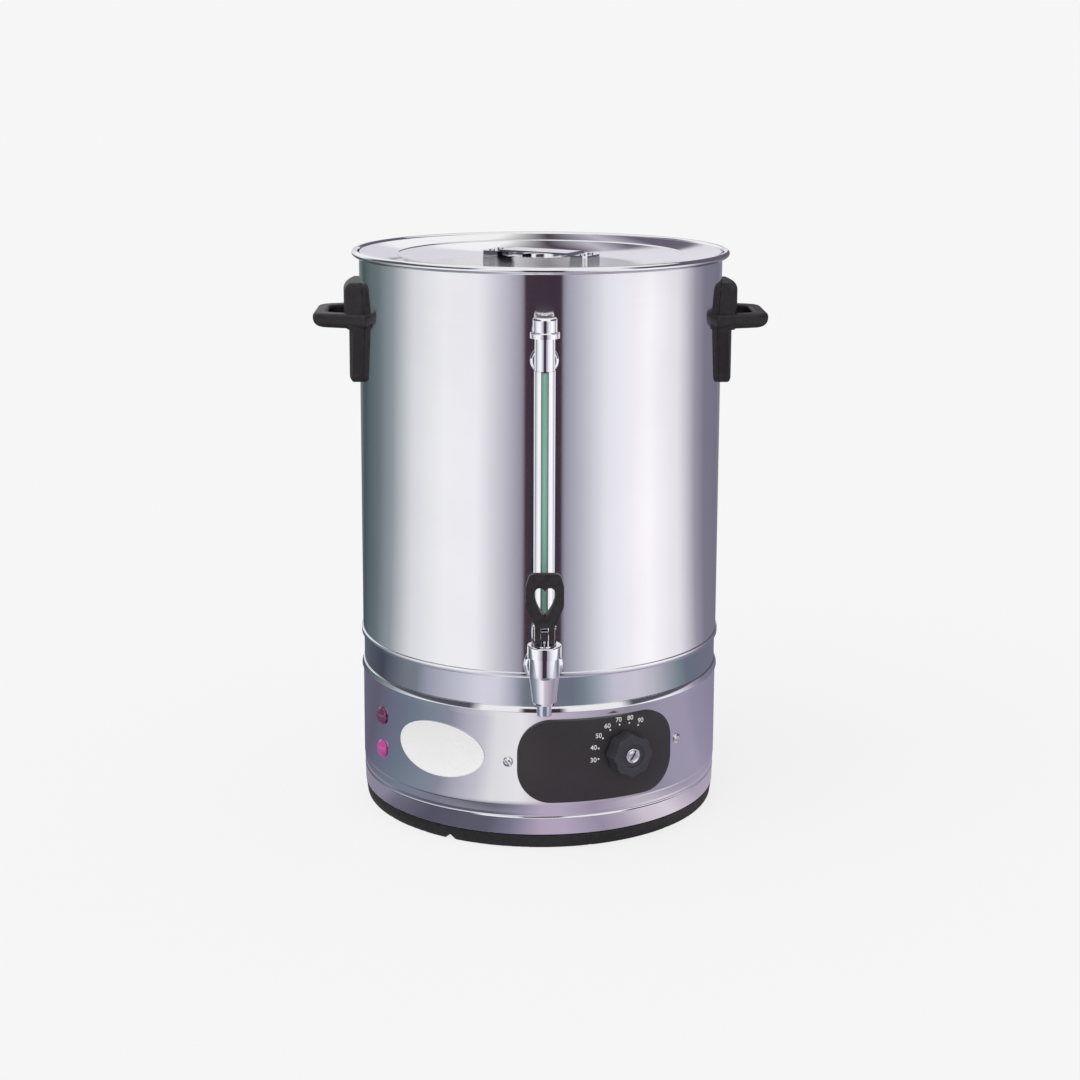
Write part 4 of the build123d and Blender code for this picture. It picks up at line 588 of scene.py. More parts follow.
# %% Base housing
BASE_BEAD = 1.2 * MM
BEAD_HEIGHT = 9.0 * MM
BEAD_CREST = 4.4 * MM
BEAD_ROUND = 0.4 * MM
BEAD_SWEEP = 0.6 * MM  # the softer bend where the bead leaves the wall
STEP_DEPTH = 0.4 * MM
STEP_HEIGHT = 36.0 * MM
GROOVE_HEIGHT = 27.5 * MM
GROOVE_WIDTH = 4.6 * MM
GROOVE_DEPTH = 0.5 * MM
GROOVE_EDGE = 0.3 * MM
GROOVE_STEPS = 6
SKIRT_DRAFT = 0.1 * MM
BASE_DRAFT = 0.5 * MM
FOOT_ROUND = 0.4 * MM
FLANGE_WIDTH = 9.0 * MM
base_low, base_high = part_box("base_housing")
base_top = base_high.z
base_inside = SHELL - SHEET
skirt = SHELL - STEP_DEPTH
foot = skirt - BASE_DRAFT
groove_low = GROOVE_HEIGHT - GROOVE_WIDTH / 2
groove_high = GROOVE_HEIGHT + GROOVE_WIDTH / 2
base_skin = turn_section("base_skin", (
    (foot, base_low.z, FOOT_ROUND),
    (skirt - SKIRT_DRAFT, groove_low, CREASE),
    *groove_corners(
        skirt, groove_low + GROOVE_EDGE, groove_high - GROOVE_EDGE, GROOVE_DEPTH, GROOVE_STEPS
    ),
    (skirt, groove_high, CREASE),
    (skirt, STEP_HEIGHT - STEP_DEPTH, CREASE),
    (SHELL, STEP_HEIGHT + STEP_DEPTH, CREASE),
    (SHELL, base_top - BEAD_HEIGHT, BEAD_SWEEP),
    (SHELL + BASE_BEAD, base_top - BEAD_CREST, BEAD_ROUND),
    (SHELL, base_top, CREASE),
    (base_inside, base_top),
    (base_inside - STEP_DEPTH, STEP_HEIGHT),
    (base_inside - STEP_DEPTH - GROOVE_DEPTH, GROOVE_HEIGHT),
    (base_inside - STEP_DEPTH - BASE_DRAFT, base_low.z + SHEET),
    (foot - FLANGE_WIDTH, base_low.z + SHEET),
    (foot - FLANGE_WIDTH, base_low.z),
))
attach(base_skin, "urn")
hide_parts("base_housing")

# %% [markdown]
# ## Plates bent to the wall
# Panel, dial figures and badge follow the base's curve. They are made flat, facing the front,
# with X along the wall, and then bent: a Simple Deform modifier bends a plate of width w over a
# circle of radius r when its angle is w / r. A wide plate needs cuts across its width to bend
# smoothly, so it is bisected into narrow columns first.

# %% Helpers for bent plates
UPRIGHT = (QUARTER_TURN, 0, 0)  # turns a flat shape to face the front
COLUMN_WIDTH = 3.0 * MM
WALL_GAP = 0.1 * MM
WALL_SEAT = SHELL + WALL_GAP


def cut_columns(piece):
    """Cuts a flat plate into narrow columns."""
    only(piece)
    bpy.ops.object.mode_set(mode="EDIT")
    reach = max(vert.co.x for vert in bmesh.from_edit_mesh(piece.data).verts)
    count = math.ceil(reach / COLUMN_WIDTH)
    for number in range(1 - count, count):
        bpy.ops.mesh.select_all(action="SELECT")
        bpy.ops.mesh.bisect(plane_co=(reach * number / count, 0, 0), plane_no=(1, 0, 0))
    bpy.ops.object.mode_set(mode="OBJECT")


def bend_to_wall(piece, degrees):
    """Bends a flat plate over the wall's radius and swings it round the urn's axis."""
    only(piece)
    xs = [vert.co.x for vert in piece.data.vertices]
    bend = piece.modifiers.new("bend", "SIMPLE_DEFORM")
    bend.deform_method = "BEND"
    bend.deform_axis = "Z"
    bend.angle = (max(xs) - min(xs)) / WALL_SEAT
    bpy.ops.object.modifier_apply(modifier="bend")
    piece.matrix_world = (
        Matrix.Rotation(math.radians(degrees), 4, "Z") @ Matrix.Translation((0, -WALL_SEAT, 0))
    )
    settle(piece)
    close_up(piece)
    low = [round(min(vert.co[axis] for vert in piece.data.vertices), 4) for axis in range(3)]
    print(piece.name, "bent, lowest corner", low)


# %% Control panel
PANEL_ANGLE = 17.75
PANEL_WIDTH = 133.5 * MM
PANEL_THICKNESS = 2.5 * MM
PANEL_CORNER = 27.0 * MM
PANEL_CORNER_STEPS = 14
PANEL_BEVEL = 0.7 * MM
PANEL_BEVEL_STEPS = 3
panel_low, panel_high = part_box("control_panel")
panel_centre = (panel_low.z + panel_high.z) / 2
panel_plate = start_piece(
    bpy.ops.mesh.primitive_plane_add, "panel_plate",
    size=1, location=(0, 0, panel_centre), rotation=UPRIGHT,
)
panel_plate.scale = (PANEL_WIDTH, panel_high.z - panel_low.z, 1)
settle(panel_plate)
bpy.ops.object.mode_set(mode="EDIT")
bpy.ops.mesh.select_all(action="SELECT")
bpy.ops.mesh.bevel(offset=PANEL_CORNER, segments=PANEL_CORNER_STEPS, affect="VERTICES")
bpy.ops.mesh.select_all(action="SELECT")
bpy.ops.mesh.extrude_region_move(TRANSFORM_OT_translate={"value": (0, -PANEL_THICKNESS, 0)})
select_parts(
    panel_plate, "edges", lambda edge: all(vert.co.y < -PANEL_BEVEL for vert in edge.verts)
)
bpy.ops.mesh.bevel(offset=PANEL_BEVEL, segments=PANEL_BEVEL_STEPS)
bpy.ops.object.mode_set(mode="OBJECT")
cut_columns(panel_plate)
bend_to_wall(panel_plate, PANEL_ANGLE)
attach(panel_plate, "urn")
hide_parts("control_panel")

# %% [markdown]
# ## The dial's figures
# White figures are printed on the panel round the knob, with a dot under each. They are text,
# made into a mesh, each figure at its place on the flat panel, and then bent with it.

# %% Helpers for the dial
KNOB_ANGLE = 25.4
knob_low, knob_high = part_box("control_knob")
knob_height = (knob_low.z + knob_high.z) / 2
knob_offset = WALL_SEAT * math.radians(KNOB_ANGLE - PANEL_ANGLE)


def on_dial(radius, degrees):
    """A place on the flat panel, by its distance and direction from the knob's middle."""
    across, up = math.cos(math.radians(degrees)), math.sin(math.radians(degrees))
    return knob_offset + radius * across, -PANEL_THICKNESS, knob_height + radius * up


def join_pieces(parts, name):
    """Joins pieces into the first of them and names it."""
    only(parts[0])
    for part in parts:
        part.select_set(True)
    bpy.ops.object.join()
    parts[0].name = name
    return parts[0]


# %% Dial figures
FIGURES = ("30", "40", "50", "60", "70", "80", "90")
FIRST_FIGURE = 190
LAST_FIGURE = 58
DIAL_RADIUS = 27.0 * MM
FIGURE_SIZE = 5.4 * MM
FIGURE_WEIGHT = 0.05 * MM  # how far each stroke grows to both sides
DOT_RADIUS = 22.8 * MM
DOT_SIZE = 0.75 * MM
DOT_CORNERS = 20
PRINT_THICKNESS = 0.06 * MM
prints = []
for number, figure in enumerate(FIGURES):
    degrees = FIRST_FIGURE + (LAST_FIGURE - FIRST_FIGURE) * number / (len(FIGURES) - 1)
    label = start_piece(bpy.ops.object.text_add, "figure", rotation=UPRIGHT)
    label.data.body = figure
    label.data.size = FIGURE_SIZE
    label.data.offset = FIGURE_WEIGHT
    label.data.align_x = "CENTER"
    label.data.align_y = "CENTER"
    label.data.extrude = PRINT_THICKNESS
    bpy.ops.object.convert(target="MESH")
    label = bpy.context.object
    label.location = on_dial(DIAL_RADIUS, degrees)
    settle(label)
    dot = start_piece(
        bpy.ops.mesh.primitive_circle_add, "dot", vertices=DOT_CORNERS, radius=DOT_SIZE,
        fill_type="NGON", location=on_dial(DOT_RADIUS, degrees), rotation=UPRIGHT,
    )
    settle(dot)
    bpy.ops.object.mode_set(mode="EDIT")
    bpy.ops.mesh.extrude_region_move(TRANSFORM_OT_translate={"value": (0, -PRINT_THICKNESS, 0)})
    bpy.ops.object.mode_set(mode="OBJECT")
    prints += [label, dot]
dial_figures = join_pieces(prints, "dial_figures")
bend_to_wall(dial_figures, PANEL_ANGLE)
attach(dial_figures, "urn")

# %% [markdown]
# ## The badge
# A plain white enamel oval with a raised border sits left of the panel. It starts as a circle
# that is stretched, given a thickness, inset for the border and sunk inside it. A Bevel modifier
# softens its edges before it is bent.


# %% Helper for soft edges
def soften_edges(piece, width, segments):
    """Rounds every sharp edge with a Bevel modifier."""
    soften = piece.modifiers.new("soften", "BEVEL")
    soften.width = width
    soften.segments = segments
    soften.limit_method = "ANGLE"
    soften.angle_limit = SMOOTH_ANGLE
    only(piece)
    bpy.ops.object.modifier_apply(modifier="soften")


# %% Badge
BADGE_ANGLE = -33.75
BADGE_WIDTH = 82.7 * MM
BADGE_CORNERS = 160
BADGE_THICKNESS = 0.8 * MM
BADGE_BORDER = 1.3 * MM
BADGE_SINK = 0.25 * MM
BADGE_ROUND = 0.18 * MM
BADGE_ROUND_STEPS = 2
UNIT_RADIUS = 0.5  # of a circle one metre wide, which is then scaled to the badge
badge_low, badge_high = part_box("name_badge")
badge_centre = (badge_low.z + badge_high.z) / 2
badge_plate = start_piece(
    bpy.ops.mesh.primitive_circle_add, "badge_plate", vertices=BADGE_CORNERS,
    radius=UNIT_RADIUS, fill_type="NGON", location=(0, 0, badge_centre), rotation=UPRIGHT,
)
badge_plate.scale = (BADGE_WIDTH, badge_high.z - badge_low.z, 1)
settle(badge_plate)
bpy.ops.object.mode_set(mode="EDIT")
bpy.ops.mesh.select_all(action="SELECT")
bpy.ops.mesh.extrude_region_move(TRANSFORM_OT_translate={"value": (0, -BADGE_THICKNESS, 0)})
bpy.ops.mesh.inset(thickness=BADGE_BORDER)
bpy.ops.mesh.extrude_region_move(TRANSFORM_OT_translate={"value": (0, BADGE_SINK, 0)})
bpy.ops.object.mode_set(mode="OBJECT")
soften_edges(badge_plate, BADGE_ROUND, BADGE_ROUND_STEPS)
cut_columns(badge_plate)
bend_to_wall(badge_plate, BADGE_ANGLE)
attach(badge_plate, "urn")
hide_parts("name_badge")

# %% [markdown]
# ## The knob
# The knob is moulded with eight soft lobes. A circle of sixteen corners gives the outline: every
# second corner is pulled in, and a wide bevel rounds all of them into a wave. The outline is
# extruded with a little draft, and Booleans cut the dish in its front and the cap's seat in the
# dish. A Bevel modifier then softens every edge at once.


# %% Helpers for pieces that stand out of the wall
def cut_away(piece, cutter):
    """Cuts one solid out of another and removes the cutter."""
    cut = piece.modifiers.new("cut", "BOOLEAN")
    cut.operation = "DIFFERENCE"
    cut.solver = "EXACT"
    cut.object = cutter
    only(piece)
    bpy.ops.object.modifier_apply(modifier="cut")
    bpy.data.objects.remove(cutter)


def stand_out(piece, degrees, reach, height):
    """Turns an upright piece to face out of the wall, at an angle round the urn and a height."""
    piece.matrix_world = (
        Matrix.Rotation(math.radians(degrees), 4, "Z")
        @ Matrix.Translation((0, -reach, height))
        @ Matrix.Rotation(QUARTER_TURN, 4, "X")
    )
    settle(piece)


# %% Knob
KNOB_RADIUS = 18.5 * MM
KNOB_LOBES = 8
KNOB_WAVE = 0.84  # how far every second corner is pulled in
KNOB_CURVE = 3.4 * MM
KNOB_CURVE_STEPS = 6
KNOB_LENGTH = 14.0 * MM
KNOB_DRAFT = 0.97
KNOB_GAP = 0.8 * MM
KNOB_EDGE = 0.9 * MM
KNOB_EDGE_STEPS = 3
DISH_RADIUS = 9.6 * MM
DISH_DEPTH = 1.4 * MM
DISH_CORNERS = 64
CAP_RADIUS = 6.2 * MM
CAP_SUNK = 0.8 * MM
knob_back = WALL_SEAT + PANEL_THICKNESS + KNOB_GAP
dish_floor = KNOB_LENGTH - DISH_DEPTH
cap_floor = dish_floor - CAP_SUNK
half_lobe = math.pi / KNOB_LOBES
knob_body = start_piece(
    bpy.ops.mesh.primitive_circle_add, "knob_body",
    vertices=2 * KNOB_LOBES, radius=KNOB_RADIUS, fill_type="NGON",
)
bpy.ops.object.mode_set(mode="EDIT")
select_parts(
    knob_body, "verts",
    lambda vert: round(math.atan2(vert.co.y, vert.co.x) / half_lobe) % 2 == 1,
)
bpy.ops.transform.resize(value=(KNOB_WAVE, KNOB_WAVE, 1), center_override=(0, 0, 0))
bpy.ops.mesh.select_all(action="SELECT")
bpy.ops.mesh.bevel(offset=KNOB_CURVE, segments=KNOB_CURVE_STEPS, affect="VERTICES")
bpy.ops.mesh.select_all(action="SELECT")
bpy.ops.mesh.extrude_region_move(TRANSFORM_OT_translate={"value": (0, 0, KNOB_LENGTH)})
bpy.ops.transform.resize(value=(KNOB_DRAFT, KNOB_DRAFT, 1), center_override=(0, 0, KNOB_LENGTH))
bpy.ops.object.mode_set(mode="OBJECT")
close_up(knob_body)
for radius, bottom in ((DISH_RADIUS, dish_floor), (CAP_RADIUS, cap_floor)):
    cutter = start_piece(
        bpy.ops.mesh.primitive_cylinder_add, "dish_cutter", vertices=DISH_CORNERS, radius=radius,
        depth=KNOB_LENGTH, location=(0, 0, bottom + KNOB_LENGTH / 2),
    )
    cut_away(knob_body, cutter)
soften_edges(knob_body, KNOB_EDGE, KNOB_EDGE_STEPS)
close_up(knob_body)
stand_out(knob_body, KNOB_ANGLE, knob_back, knob_height)
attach(knob_body, "knob")
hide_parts("control_knob")
print("knob faces:", len(knob_body.data.polygons))

# %% [markdown]
# ## The knob's cap
# A plated cap covers the screw in the knob's middle. It is turned, with a rim and a ring round a
# flat middle, and a slot goes right through it, so that the dark plastic shows there.


# %% Helper for slots
def cut_slot(piece, size, height, degrees):
    """Cuts a straight slot across a turned head, with its middle at a height."""
    cutter = start_piece(
        bpy.ops.mesh.primitive_cube_add, "slot_cutter",
        size=1, location=(0, 0, height), rotation=(0, 0, math.radians(degrees)),
    )
    cutter.scale = size
    settle(cutter)
    cut_away(piece, cutter)
    close_up(piece)


# %% Knob cap
CAP_HEIGHT = 1.8 * MM
CAP_GAP = 0.15 * MM
CAP_ROUND = 0.5 * MM
CAP_STEPS = 64
RIM_INSIDE = 4.9 * MM
RING_OUTSIDE = 4.5 * MM
RING_INSIDE = 3.9 * MM
MIDDLE_RADIUS = 3.5 * MM
MIDDLE_SUNK = 0.1 * MM
RING_SUNK = 0.5 * MM
RING_CREST = 0.3 * MM  # the rounding of the ring's upper corners
CAP_SLOT = (1.5 * MM, 8.6 * MM, 8.0 * MM)
CAP_SLOT_TURN = -35
knob_cap = turn_section("knob_cap", (
    (0, 0),
    (CAP_RADIUS - CAP_GAP, 0),
    (CAP_RADIUS - CAP_GAP, CAP_HEIGHT, CAP_ROUND),
    (RIM_INSIDE, CAP_HEIGHT, RING_CREST),
    (RING_OUTSIDE, CAP_HEIGHT - RING_SUNK, CREASE),
    (RING_INSIDE, CAP_HEIGHT - RING_SUNK, CREASE),
    (MIDDLE_RADIUS, CAP_HEIGHT - MIDDLE_SUNK, RING_CREST),
    (0, CAP_HEIGHT),
), closed=False, steps=CAP_STEPS)
cut_slot(knob_cap, CAP_SLOT, 0, CAP_SLOT_TURN)
stand_out(knob_cap, KNOB_ANGLE, knob_back + cap_floor, knob_height)
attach(knob_cap, "knob")
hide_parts("knob_screw")

# %% [markdown]
# ## The panel's screws
# Two screws beside the panel hold the thermostat's bracket behind the wall. One round head is
# turned and slotted, then copied to the other place, and the two are joined into one piece.

# %% Panel screws
HEAD_RADIUS = 4.0 * MM
HEAD_HEIGHT = 2.2 * MM
HEAD_EDGE = 0.7 * MM
HEAD_EDGE_ROUND = 0.4 * MM
HEAD_STEPS = 48
DOME_RADIUS = 2.5 * MM
DOME_SUNK = 0.2 * MM
DOME_ROUND = 1.1 * MM
HEAD_SLOT = (1.4 * MM, 10.0 * MM, 2.0 * MM)
HEAD_SLOT_TURN = 40
LEFT_GAP = 7.5 * MM
RIGHT_GAP = 9.9 * MM
LEFT_RISE = -0.9 * MM
RIGHT_RISE = 2.6 * MM
screw_head = turn_section("screw_head", (
    (0, 0),
    (HEAD_RADIUS, 0),
    (HEAD_RADIUS, HEAD_EDGE, HEAD_EDGE_ROUND),
    (DOME_RADIUS, HEAD_HEIGHT - DOME_SUNK, DOME_ROUND),
    (0, HEAD_HEIGHT),
), closed=False, steps=HEAD_STEPS)
cut_slot(screw_head, HEAD_SLOT, HEAD_HEIGHT, HEAD_SLOT_TURN)
half_panel = math.degrees(PANEL_WIDTH / 2 / WALL_SEAT)
screw_places = (
    (PANEL_ANGLE - half_panel - math.degrees(LEFT_GAP / WALL_SEAT), panel_centre + LEFT_RISE),
    (PANEL_ANGLE + half_panel + math.degrees(RIGHT_GAP / WALL_SEAT), panel_centre + RIGHT_RISE),
)
only(screw_head)
bpy.ops.object.duplicate()
heads = (screw_head, bpy.context.object)
for head, (degrees, height) in zip(heads, screw_places):
    stand_out(head, degrees, WALL_SEAT, height)
panel_screw_heads = join_pieces(heads, "panel_screw_heads")
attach(panel_screw_heads, "urn")
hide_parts("panel_screws")
print("screws at", [round(place[0], 1) for place in screw_places])

# %% [markdown]
# ## Surface effects as groups
# No real surface is even. Effects that several finishes share are node groups. Fine grain gives
# small changes of colour, roughness and height; its stretch sets the size of the grain along each
# axis, so the same group makes lathe lines that run round the urn and the even skin of moulded
# plastic. Settled dust lightens what faces up, and rubbed edges brighten corners that hands touch.

# %% Helpers for groups
COLOUR, NUMBER, VECTOR = "NodeSocketColor", "NodeSocketFloat", "NodeSocketVector"


def new_group(name, inputs, outputs):
    """A node group with named inputs and outputs: each is a name, a kind and a value."""
    group = bpy.data.node_groups.new(name, "ShaderNodeTree")
    for label, kind, value in inputs:
        socket = group.interface.new_socket(name=label, in_out="INPUT", socket_type=kind)
        socket.default_value = value
    for label, kind in outputs:
        group.interface.new_socket(name=label, in_out="OUTPUT", socket_type=kind)
    return group, group.nodes.new("NodeGroupInput"), group.nodes.new("NodeGroupOutput")


def noise_at(group, scale, detail, stretch=None):
    """Noise over the object's own place, with the place stretched first if asked."""
    place = group.nodes.new("ShaderNodeTexCoord").outputs["Object"]
    noise = add_node(group, "ShaderNodeTexNoise", Scale=scale, Detail=detail)
    if stretch is not None:
        sizing = group.nodes.new("ShaderNodeMapping")
        group.links.new(place, sizing.inputs["Vector"])
        group.links.new(stretch, sizing.inputs["Scale"])
        place = sizing.outputs["Vector"]
    group.links.new(place, noise.inputs["Vector"])
    return noise.outputs["Fac"]


# %% Fine grain
GRAIN_DETAIL = 3.0
CLOUD_SCALE = 14.0
CLOUD_DETAIL = 4.0
PATCH_RANGE = (0.35, 0.65)
SWAY_RANGE = (0.3, 0.7)
SWAY = (-0.5, 0.5)
fine_grain, entry, leave = new_group(
    "fine_grain",
    (
        ("Colour", COLOUR, (0.8, 0.8, 0.8, 1)),
        ("Tint", COLOUR, (0.7, 0.7, 0.7, 1)),
        ("Roughness", NUMBER, 0.3),
        ("Spread", NUMBER, 0.05),
        ("Stretch", VECTOR, (400, 400, 400)),
    ),
    (("Colour", COLOUR), ("Roughness", NUMBER), ("Height", NUMBER)),
)
grain = noise_at(fine_grain, 1.0, GRAIN_DETAIL, entry.outputs["Stretch"])
cloud = noise_at(fine_grain, CLOUD_SCALE, CLOUD_DETAIL)
patches = spread_between(fine_grain, cloud, PATCH_RANGE)
toned = mix_colours(fine_grain, patches, entry.outputs["Colour"], entry.outputs["Tint"])
grain_sway = spread_between(fine_grain, grain, SWAY_RANGE, SWAY)
cloud_sway = spread_between(fine_grain, cloud, SWAY_RANGE, SWAY)
sway = calculate(fine_grain, "ADD", grain_sway, cloud_sway)
swing = calculate(fine_grain, "MULTIPLY", sway, entry.outputs["Spread"])
rough = calculate(fine_grain, "ADD", swing, entry.outputs["Roughness"])
fine_grain.links.new(toned, leave.inputs["Colour"])
fine_grain.links.new(rough, leave.inputs["Roughness"])
fine_grain.links.new(grain, leave.inputs["Height"])
print("fine grain:", len(fine_grain.nodes), "nodes")

# %% Settled dust
UPWARD_RANGE = (0.5, 1.0)
SPECK_SCALE = 900.0
SPECK_DETAIL = 3.0
SPECK_RANGE = (0.45, 0.75)
DUST_ROUGHENS = 0.5
settled_dust, entry, leave = new_group(
    "settled_dust",
    (
        ("Colour", COLOUR, (0.8, 0.8, 0.8, 1)),
        ("Roughness", NUMBER, 0.3),
        ("Dust", COLOUR, (0.5, 0.49, 0.47, 1)),
        ("Amount", NUMBER, 0.1),
    ),
    (("Colour", COLOUR), ("Roughness", NUMBER)),
)
facing = settled_dust.nodes.new("ShaderNodeNewGeometry")
directions = settled_dust.nodes.new("ShaderNodeSeparateXYZ")
settled_dust.links.new(facing.outputs["Normal"], directions.inputs[0])
upward = spread_between(settled_dust, directions.outputs["Z"], UPWARD_RANGE)
speck_noise = noise_at(settled_dust, SPECK_SCALE, SPECK_DETAIL)
specks = spread_between(settled_dust, speck_noise, SPECK_RANGE)
dust_there = calculate(settled_dust, "MULTIPLY", upward, specks)
amount = calculate(settled_dust, "MULTIPLY", dust_there, entry.outputs["Amount"])
dusty = mix_colours(settled_dust, amount, entry.outputs["Colour"], entry.outputs["Dust"])
rougher = calculate(settled_dust, "MULTIPLY", amount, DUST_ROUGHENS)
rough = calculate(settled_dust, "ADD", entry.outputs["Roughness"], rougher)
settled_dust.links.new(dusty, leave.inputs["Colour"])
settled_dust.links.new(rough, leave.inputs["Roughness"])
print("settled dust:", len(settled_dust.nodes), "nodes")

# %% Rubbed edges
RIDGE_RANGE = (0.52, 0.6)
WEAR_SCALE = 220.0
WEAR_DETAIL = 4.0
WEAR_RANGE = (0.35, 0.6)
WEAR_SMOOTHS = 0.12
rubbed_edges, entry, leave = new_group(
    "rubbed_edges",
    (
        ("Colour", COLOUR, (0.8, 0.8, 0.8, 1)),
        ("Worn", COLOUR, (0.9, 0.9, 0.9, 1)),
        ("Roughness", NUMBER, 0.3),
        ("Amount", NUMBER, 0.3),
    ),
    (("Colour", COLOUR), ("Roughness", NUMBER)),
)
shape = rubbed_edges.nodes.new("ShaderNodeNewGeometry")
ridge = spread_between(rubbed_edges, shape.outputs["Pointiness"], RIDGE_RANGE)
wear_noise = noise_at(rubbed_edges, WEAR_SCALE, WEAR_DETAIL)
broken = spread_between(rubbed_edges, wear_noise, WEAR_RANGE)
wear_there = calculate(rubbed_edges, "MULTIPLY", ridge, broken)
worn = calculate(rubbed_edges, "MULTIPLY", wear_there, entry.outputs["Amount"])
bright = mix_colours(rubbed_edges, worn, entry.outputs["Colour"], entry.outputs["Worn"])
smoother = calculate(rubbed_edges, "MULTIPLY", worn, WEAR_SMOOTHS)
rough = calculate(rubbed_edges, "SUBTRACT", entry.outputs["Roughness"], smoother)
rubbed_edges.links.new(bright, leave.inputs["Colour"])
rubbed_edges.links.new(rough, leave.inputs["Roughness"])
print("rubbed edges:", len(rubbed_edges.nodes), "nodes")

# %% [markdown]
# ## The finishes
# Each finish names its colour, a second tint for the patches, its roughness and how far that
# sways, the grain's stretch, the bump's depth, and how much dust and wear it carries. Steel that
# was polished on a lathe has grain that is long round the urn and very fine up and down.

# %% Finish helper
AROUND = (9, 9, 1500)
EVEN = (700, 700, 700)
FINE = (1500, 1500, 1500)
PEEL = (160, 160, 160)
BUMP_STRENGTH = 0.5
BRIGHT_WEAR = (0.9, 0.9, 0.9)
finishes = {}


def make_finish(slot, colour, tint, metallic, roughness, spread, stretch, depth,
                dust=0.0, wear=0.0, worn=BRIGHT_WEAR, **shine):
    """A material for one slot: grain, then dust and rubbed edges, into one shader."""
    material, tree, output = new_material(slot)
    grain = add_node(
        tree, "ShaderNodeGroup", node_tree=fine_grain, Colour=(*colour, 1), Tint=(*tint, 1),
        Roughness=roughness, Spread=spread, Stretch=stretch,
    )
    last = grain
    for group, amount, extra in (
        (rubbed_edges, wear, {"Worn": (*worn, 1)}), (settled_dust, dust, {}),
    ):
        if amount:
            effect = add_node(tree, "ShaderNodeGroup", node_tree=group, Amount=amount, **extra)
            tree.links.new(last.outputs["Colour"], effect.inputs["Colour"])
            tree.links.new(last.outputs["Roughness"], effect.inputs["Roughness"])
            last = effect
    bump = add_node(tree, "ShaderNodeBump", Strength=BUMP_STRENGTH, Distance=depth)
    tree.links.new(grain.outputs["Height"], bump.inputs["Height"])
    shader = add_node(tree, "ShaderNodeBsdfPrincipled", Metallic=metallic)
    for label, value in shine.items():
        shader.inputs[label.replace("_", " ")].default_value = value
    tree.links.new(last.outputs["Colour"], shader.inputs["Base Color"])
    tree.links.new(last.outputs["Roughness"], shader.inputs["Roughness"])
    tree.links.new(bump.outputs["Normal"], shader.inputs["Normal"])
    tree.links.new(shader.outputs[0], output.inputs["Surface"])
    finishes[slot] = material


# %% Steels and plating
STREAK_TURN = 0.25  # a quarter turn, so the brushed shine runs along the lathe lines
for slot, colour, tint, roughness, spread, stretch, depth, dust, wear, brushed in (
    ("shell_steel", (0.87, 0.87, 0.88), (0.85, 0.85, 0.86),
     0.10, 0.02, AROUND, 2e-6, 0.05, 0.0, 0.9),
    ("tank_steel", (0.88, 0.88, 0.89), (0.86, 0.86, 0.87),
     0.06, 0.02, AROUND, 1e-6, 0.05, 0.3, 0.2),
    ("base_steel", (0.86, 0.86, 0.87), (0.84, 0.84, 0.86),
     0.06, 0.02, AROUND, 1e-6, 0.08, 0.2, 0.3),
    ("sheet_steel", (0.84, 0.835, 0.86), (0.80, 0.80, 0.83),
     0.17, 0.04, AROUND, 4e-6, 0.10, 0.2, 0.0),
    ("bright_metal", (0.93, 0.93, 0.94), (0.90, 0.90, 0.92),
     0.06, 0.02, EVEN, 1e-6, 0.05, 0.0, 0.0),
    ("screw_steel", (0.84, 0.84, 0.86), (0.78, 0.78, 0.80),
     0.12, 0.04, EVEN, 4e-6, 0.05, 0.1, 0.0),
    ("heater_metal", (0.62, 0.61, 0.60), (0.50, 0.48, 0.46),
     0.34, 0.10, EVEN, 2e-5, 0.0, 0.0, 0.0),
    ("terminal_brass", (0.80, 0.62, 0.30), (0.70, 0.52, 0.24),
     0.28, 0.08, EVEN, 1e-5, 0.0, 0.2, 0.0),
    ("capillary_copper", (0.86, 0.48, 0.32), (0.72, 0.38, 0.25),
     0.26, 0.08, EVEN, 1e-5, 0.0, 0.0, 0.0),
):
    make_finish(
        slot, colour, tint, 1.0, roughness, spread, stretch, depth, dust, wear,
        Anisotropic=brushed, Anisotropic_Rotation=STREAK_TURN,
    )
print("metals:", list(finishes))

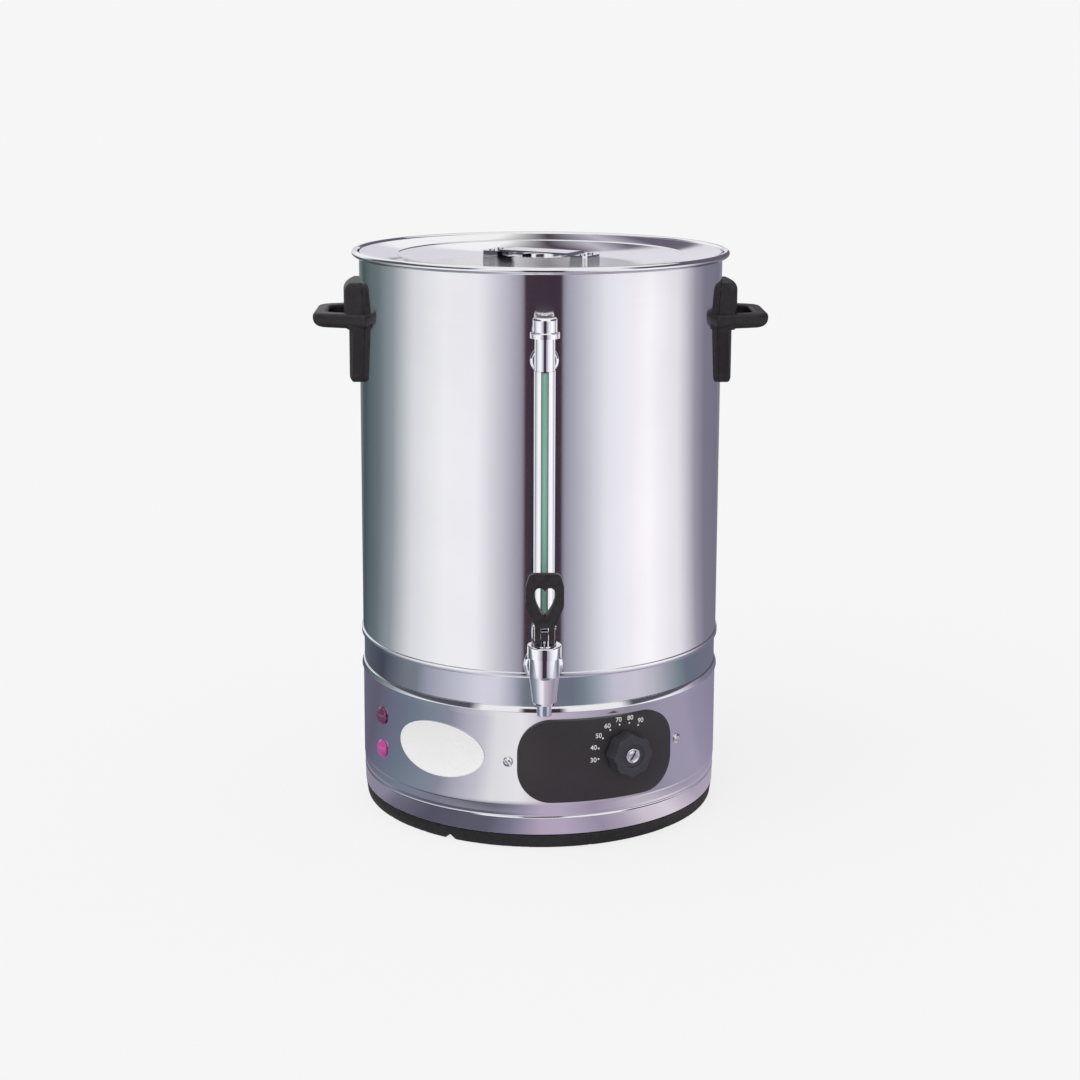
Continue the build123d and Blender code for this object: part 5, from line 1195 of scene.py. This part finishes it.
# %% Plastics, rubber and print
GREY_WEAR = (0.10, 0.10, 0.11)
for slot, colour, tint, roughness, spread, stretch, depth, dust, wear, gloss in (
    ("black_plastic", (0.022, 0.018, 0.021), (0.026, 0.021, 0.024),
     0.46, 0.06, EVEN, 2e-5, 0.06, 0.12, 0.2),
    ("panel_black", (0.030, 0.025, 0.030), (0.034, 0.028, 0.033),
     0.42, 0.06, FINE, 8e-6, 0.05, 0.3, 0.35),
    ("knob_plastic", (0.036, 0.036, 0.045), (0.040, 0.040, 0.050),
     0.34, 0.05, FINE, 6e-6, 0.03, 0.2, 0.5),
    ("inner_plastic", (0.10, 0.10, 0.105), (0.13, 0.13, 0.135),
     0.50, 0.08, EVEN, 2e-5, 0.0, 0.2, 0.4),
    ("tap_plastic", (0.022, 0.018, 0.020), (0.026, 0.021, 0.024),
     0.38, 0.05, EVEN, 8e-6, 0.06, 0.12, 0.25),
    ("badge_white", (0.86, 0.85, 0.85), (0.83, 0.82, 0.82),
     0.28, 0.06, PEEL, 2e-5, 0.0, 0.0, 0.5),
    ("line_green", (0.25, 0.46, 0.38), (0.28, 0.49, 0.41),
     0.35, 0.06, PEEL, 1e-5, 0.0, 0.0, 0.4),
    ("seal_rubber", (0.05, 0.05, 0.052), (0.07, 0.07, 0.07),
     0.62, 0.10, EVEN, 3e-5, 0.0, 0.0, 0.3),
    ("seat_rubber", (0.06, 0.055, 0.052), (0.08, 0.07, 0.07),
     0.60, 0.10, EVEN, 3e-5, 0.0, 0.0, 0.3),
    ("foot_rubber", (0.016, 0.014, 0.016), (0.019, 0.017, 0.018),
     0.60, 0.08, EVEN, 4e-5, 0.08, 0.1, 0.3),
):
    make_finish(
        slot, colour, tint, 0.0, roughness, spread, stretch, depth, dust, wear, GREY_WEAR,
        Specular_IOR_Level=gloss,
    )
print("with plastics and rubber:", len(finishes))

# %% Lamps and glass
LENS_COAT = {"Coat_Weight": 0.6, "Coat_Roughness": 0.05}
make_finish(
    "lamp_violet", (0.42, 0.07, 0.28), (0.36, 0.05, 0.24), 0.0, 0.14, 0.03, PEEL, 6e-6,
    Emission_Color=(0.75, 0.10, 0.45, 1), Emission_Strength=0.08, **LENS_COAT,
)
make_finish(
    "lamp_dim", (0.16, 0.035, 0.10), (0.13, 0.028, 0.08), 0.0, 0.16, 0.03, PEEL, 6e-6, **LENS_COAT
)
make_finish(
    "gauge_glass", (0.94, 0.97, 0.96), (0.92, 0.96, 0.95), 0.0, 0.03, 0.01, PEEL, 2e-6,
    Transmission_Weight=1.0, IOR=1.47,
)

# %% Dress every piece
slots = {part["node"]: part["material_slot"] for part in frame["record"]["subparts"]}
pieces = {
    shell_skin: "shell_steel",
    shell_seam: "shell_steel",
    tank_pressing: "tank_steel",
    lid_skin: "tank_steel",
    base_skin: "base_steel",
    panel_plate: "panel_black",
    dial_figures: "badge_white",
    badge_plate: "badge_white",
    knob_body: "knob_plastic",
    knob_cap: "bright_metal",
    panel_screw_heads: "screw_steel",
}
for name, node in nodes.items():
    pieces[node] = slots[name]
for piece, slot in pieces.items():
    piece.data.materials.clear()
    piece.data.materials.append(finishes[slot])
print("dressed", len(pieces), "pieces in", len(finishes), "finishes")
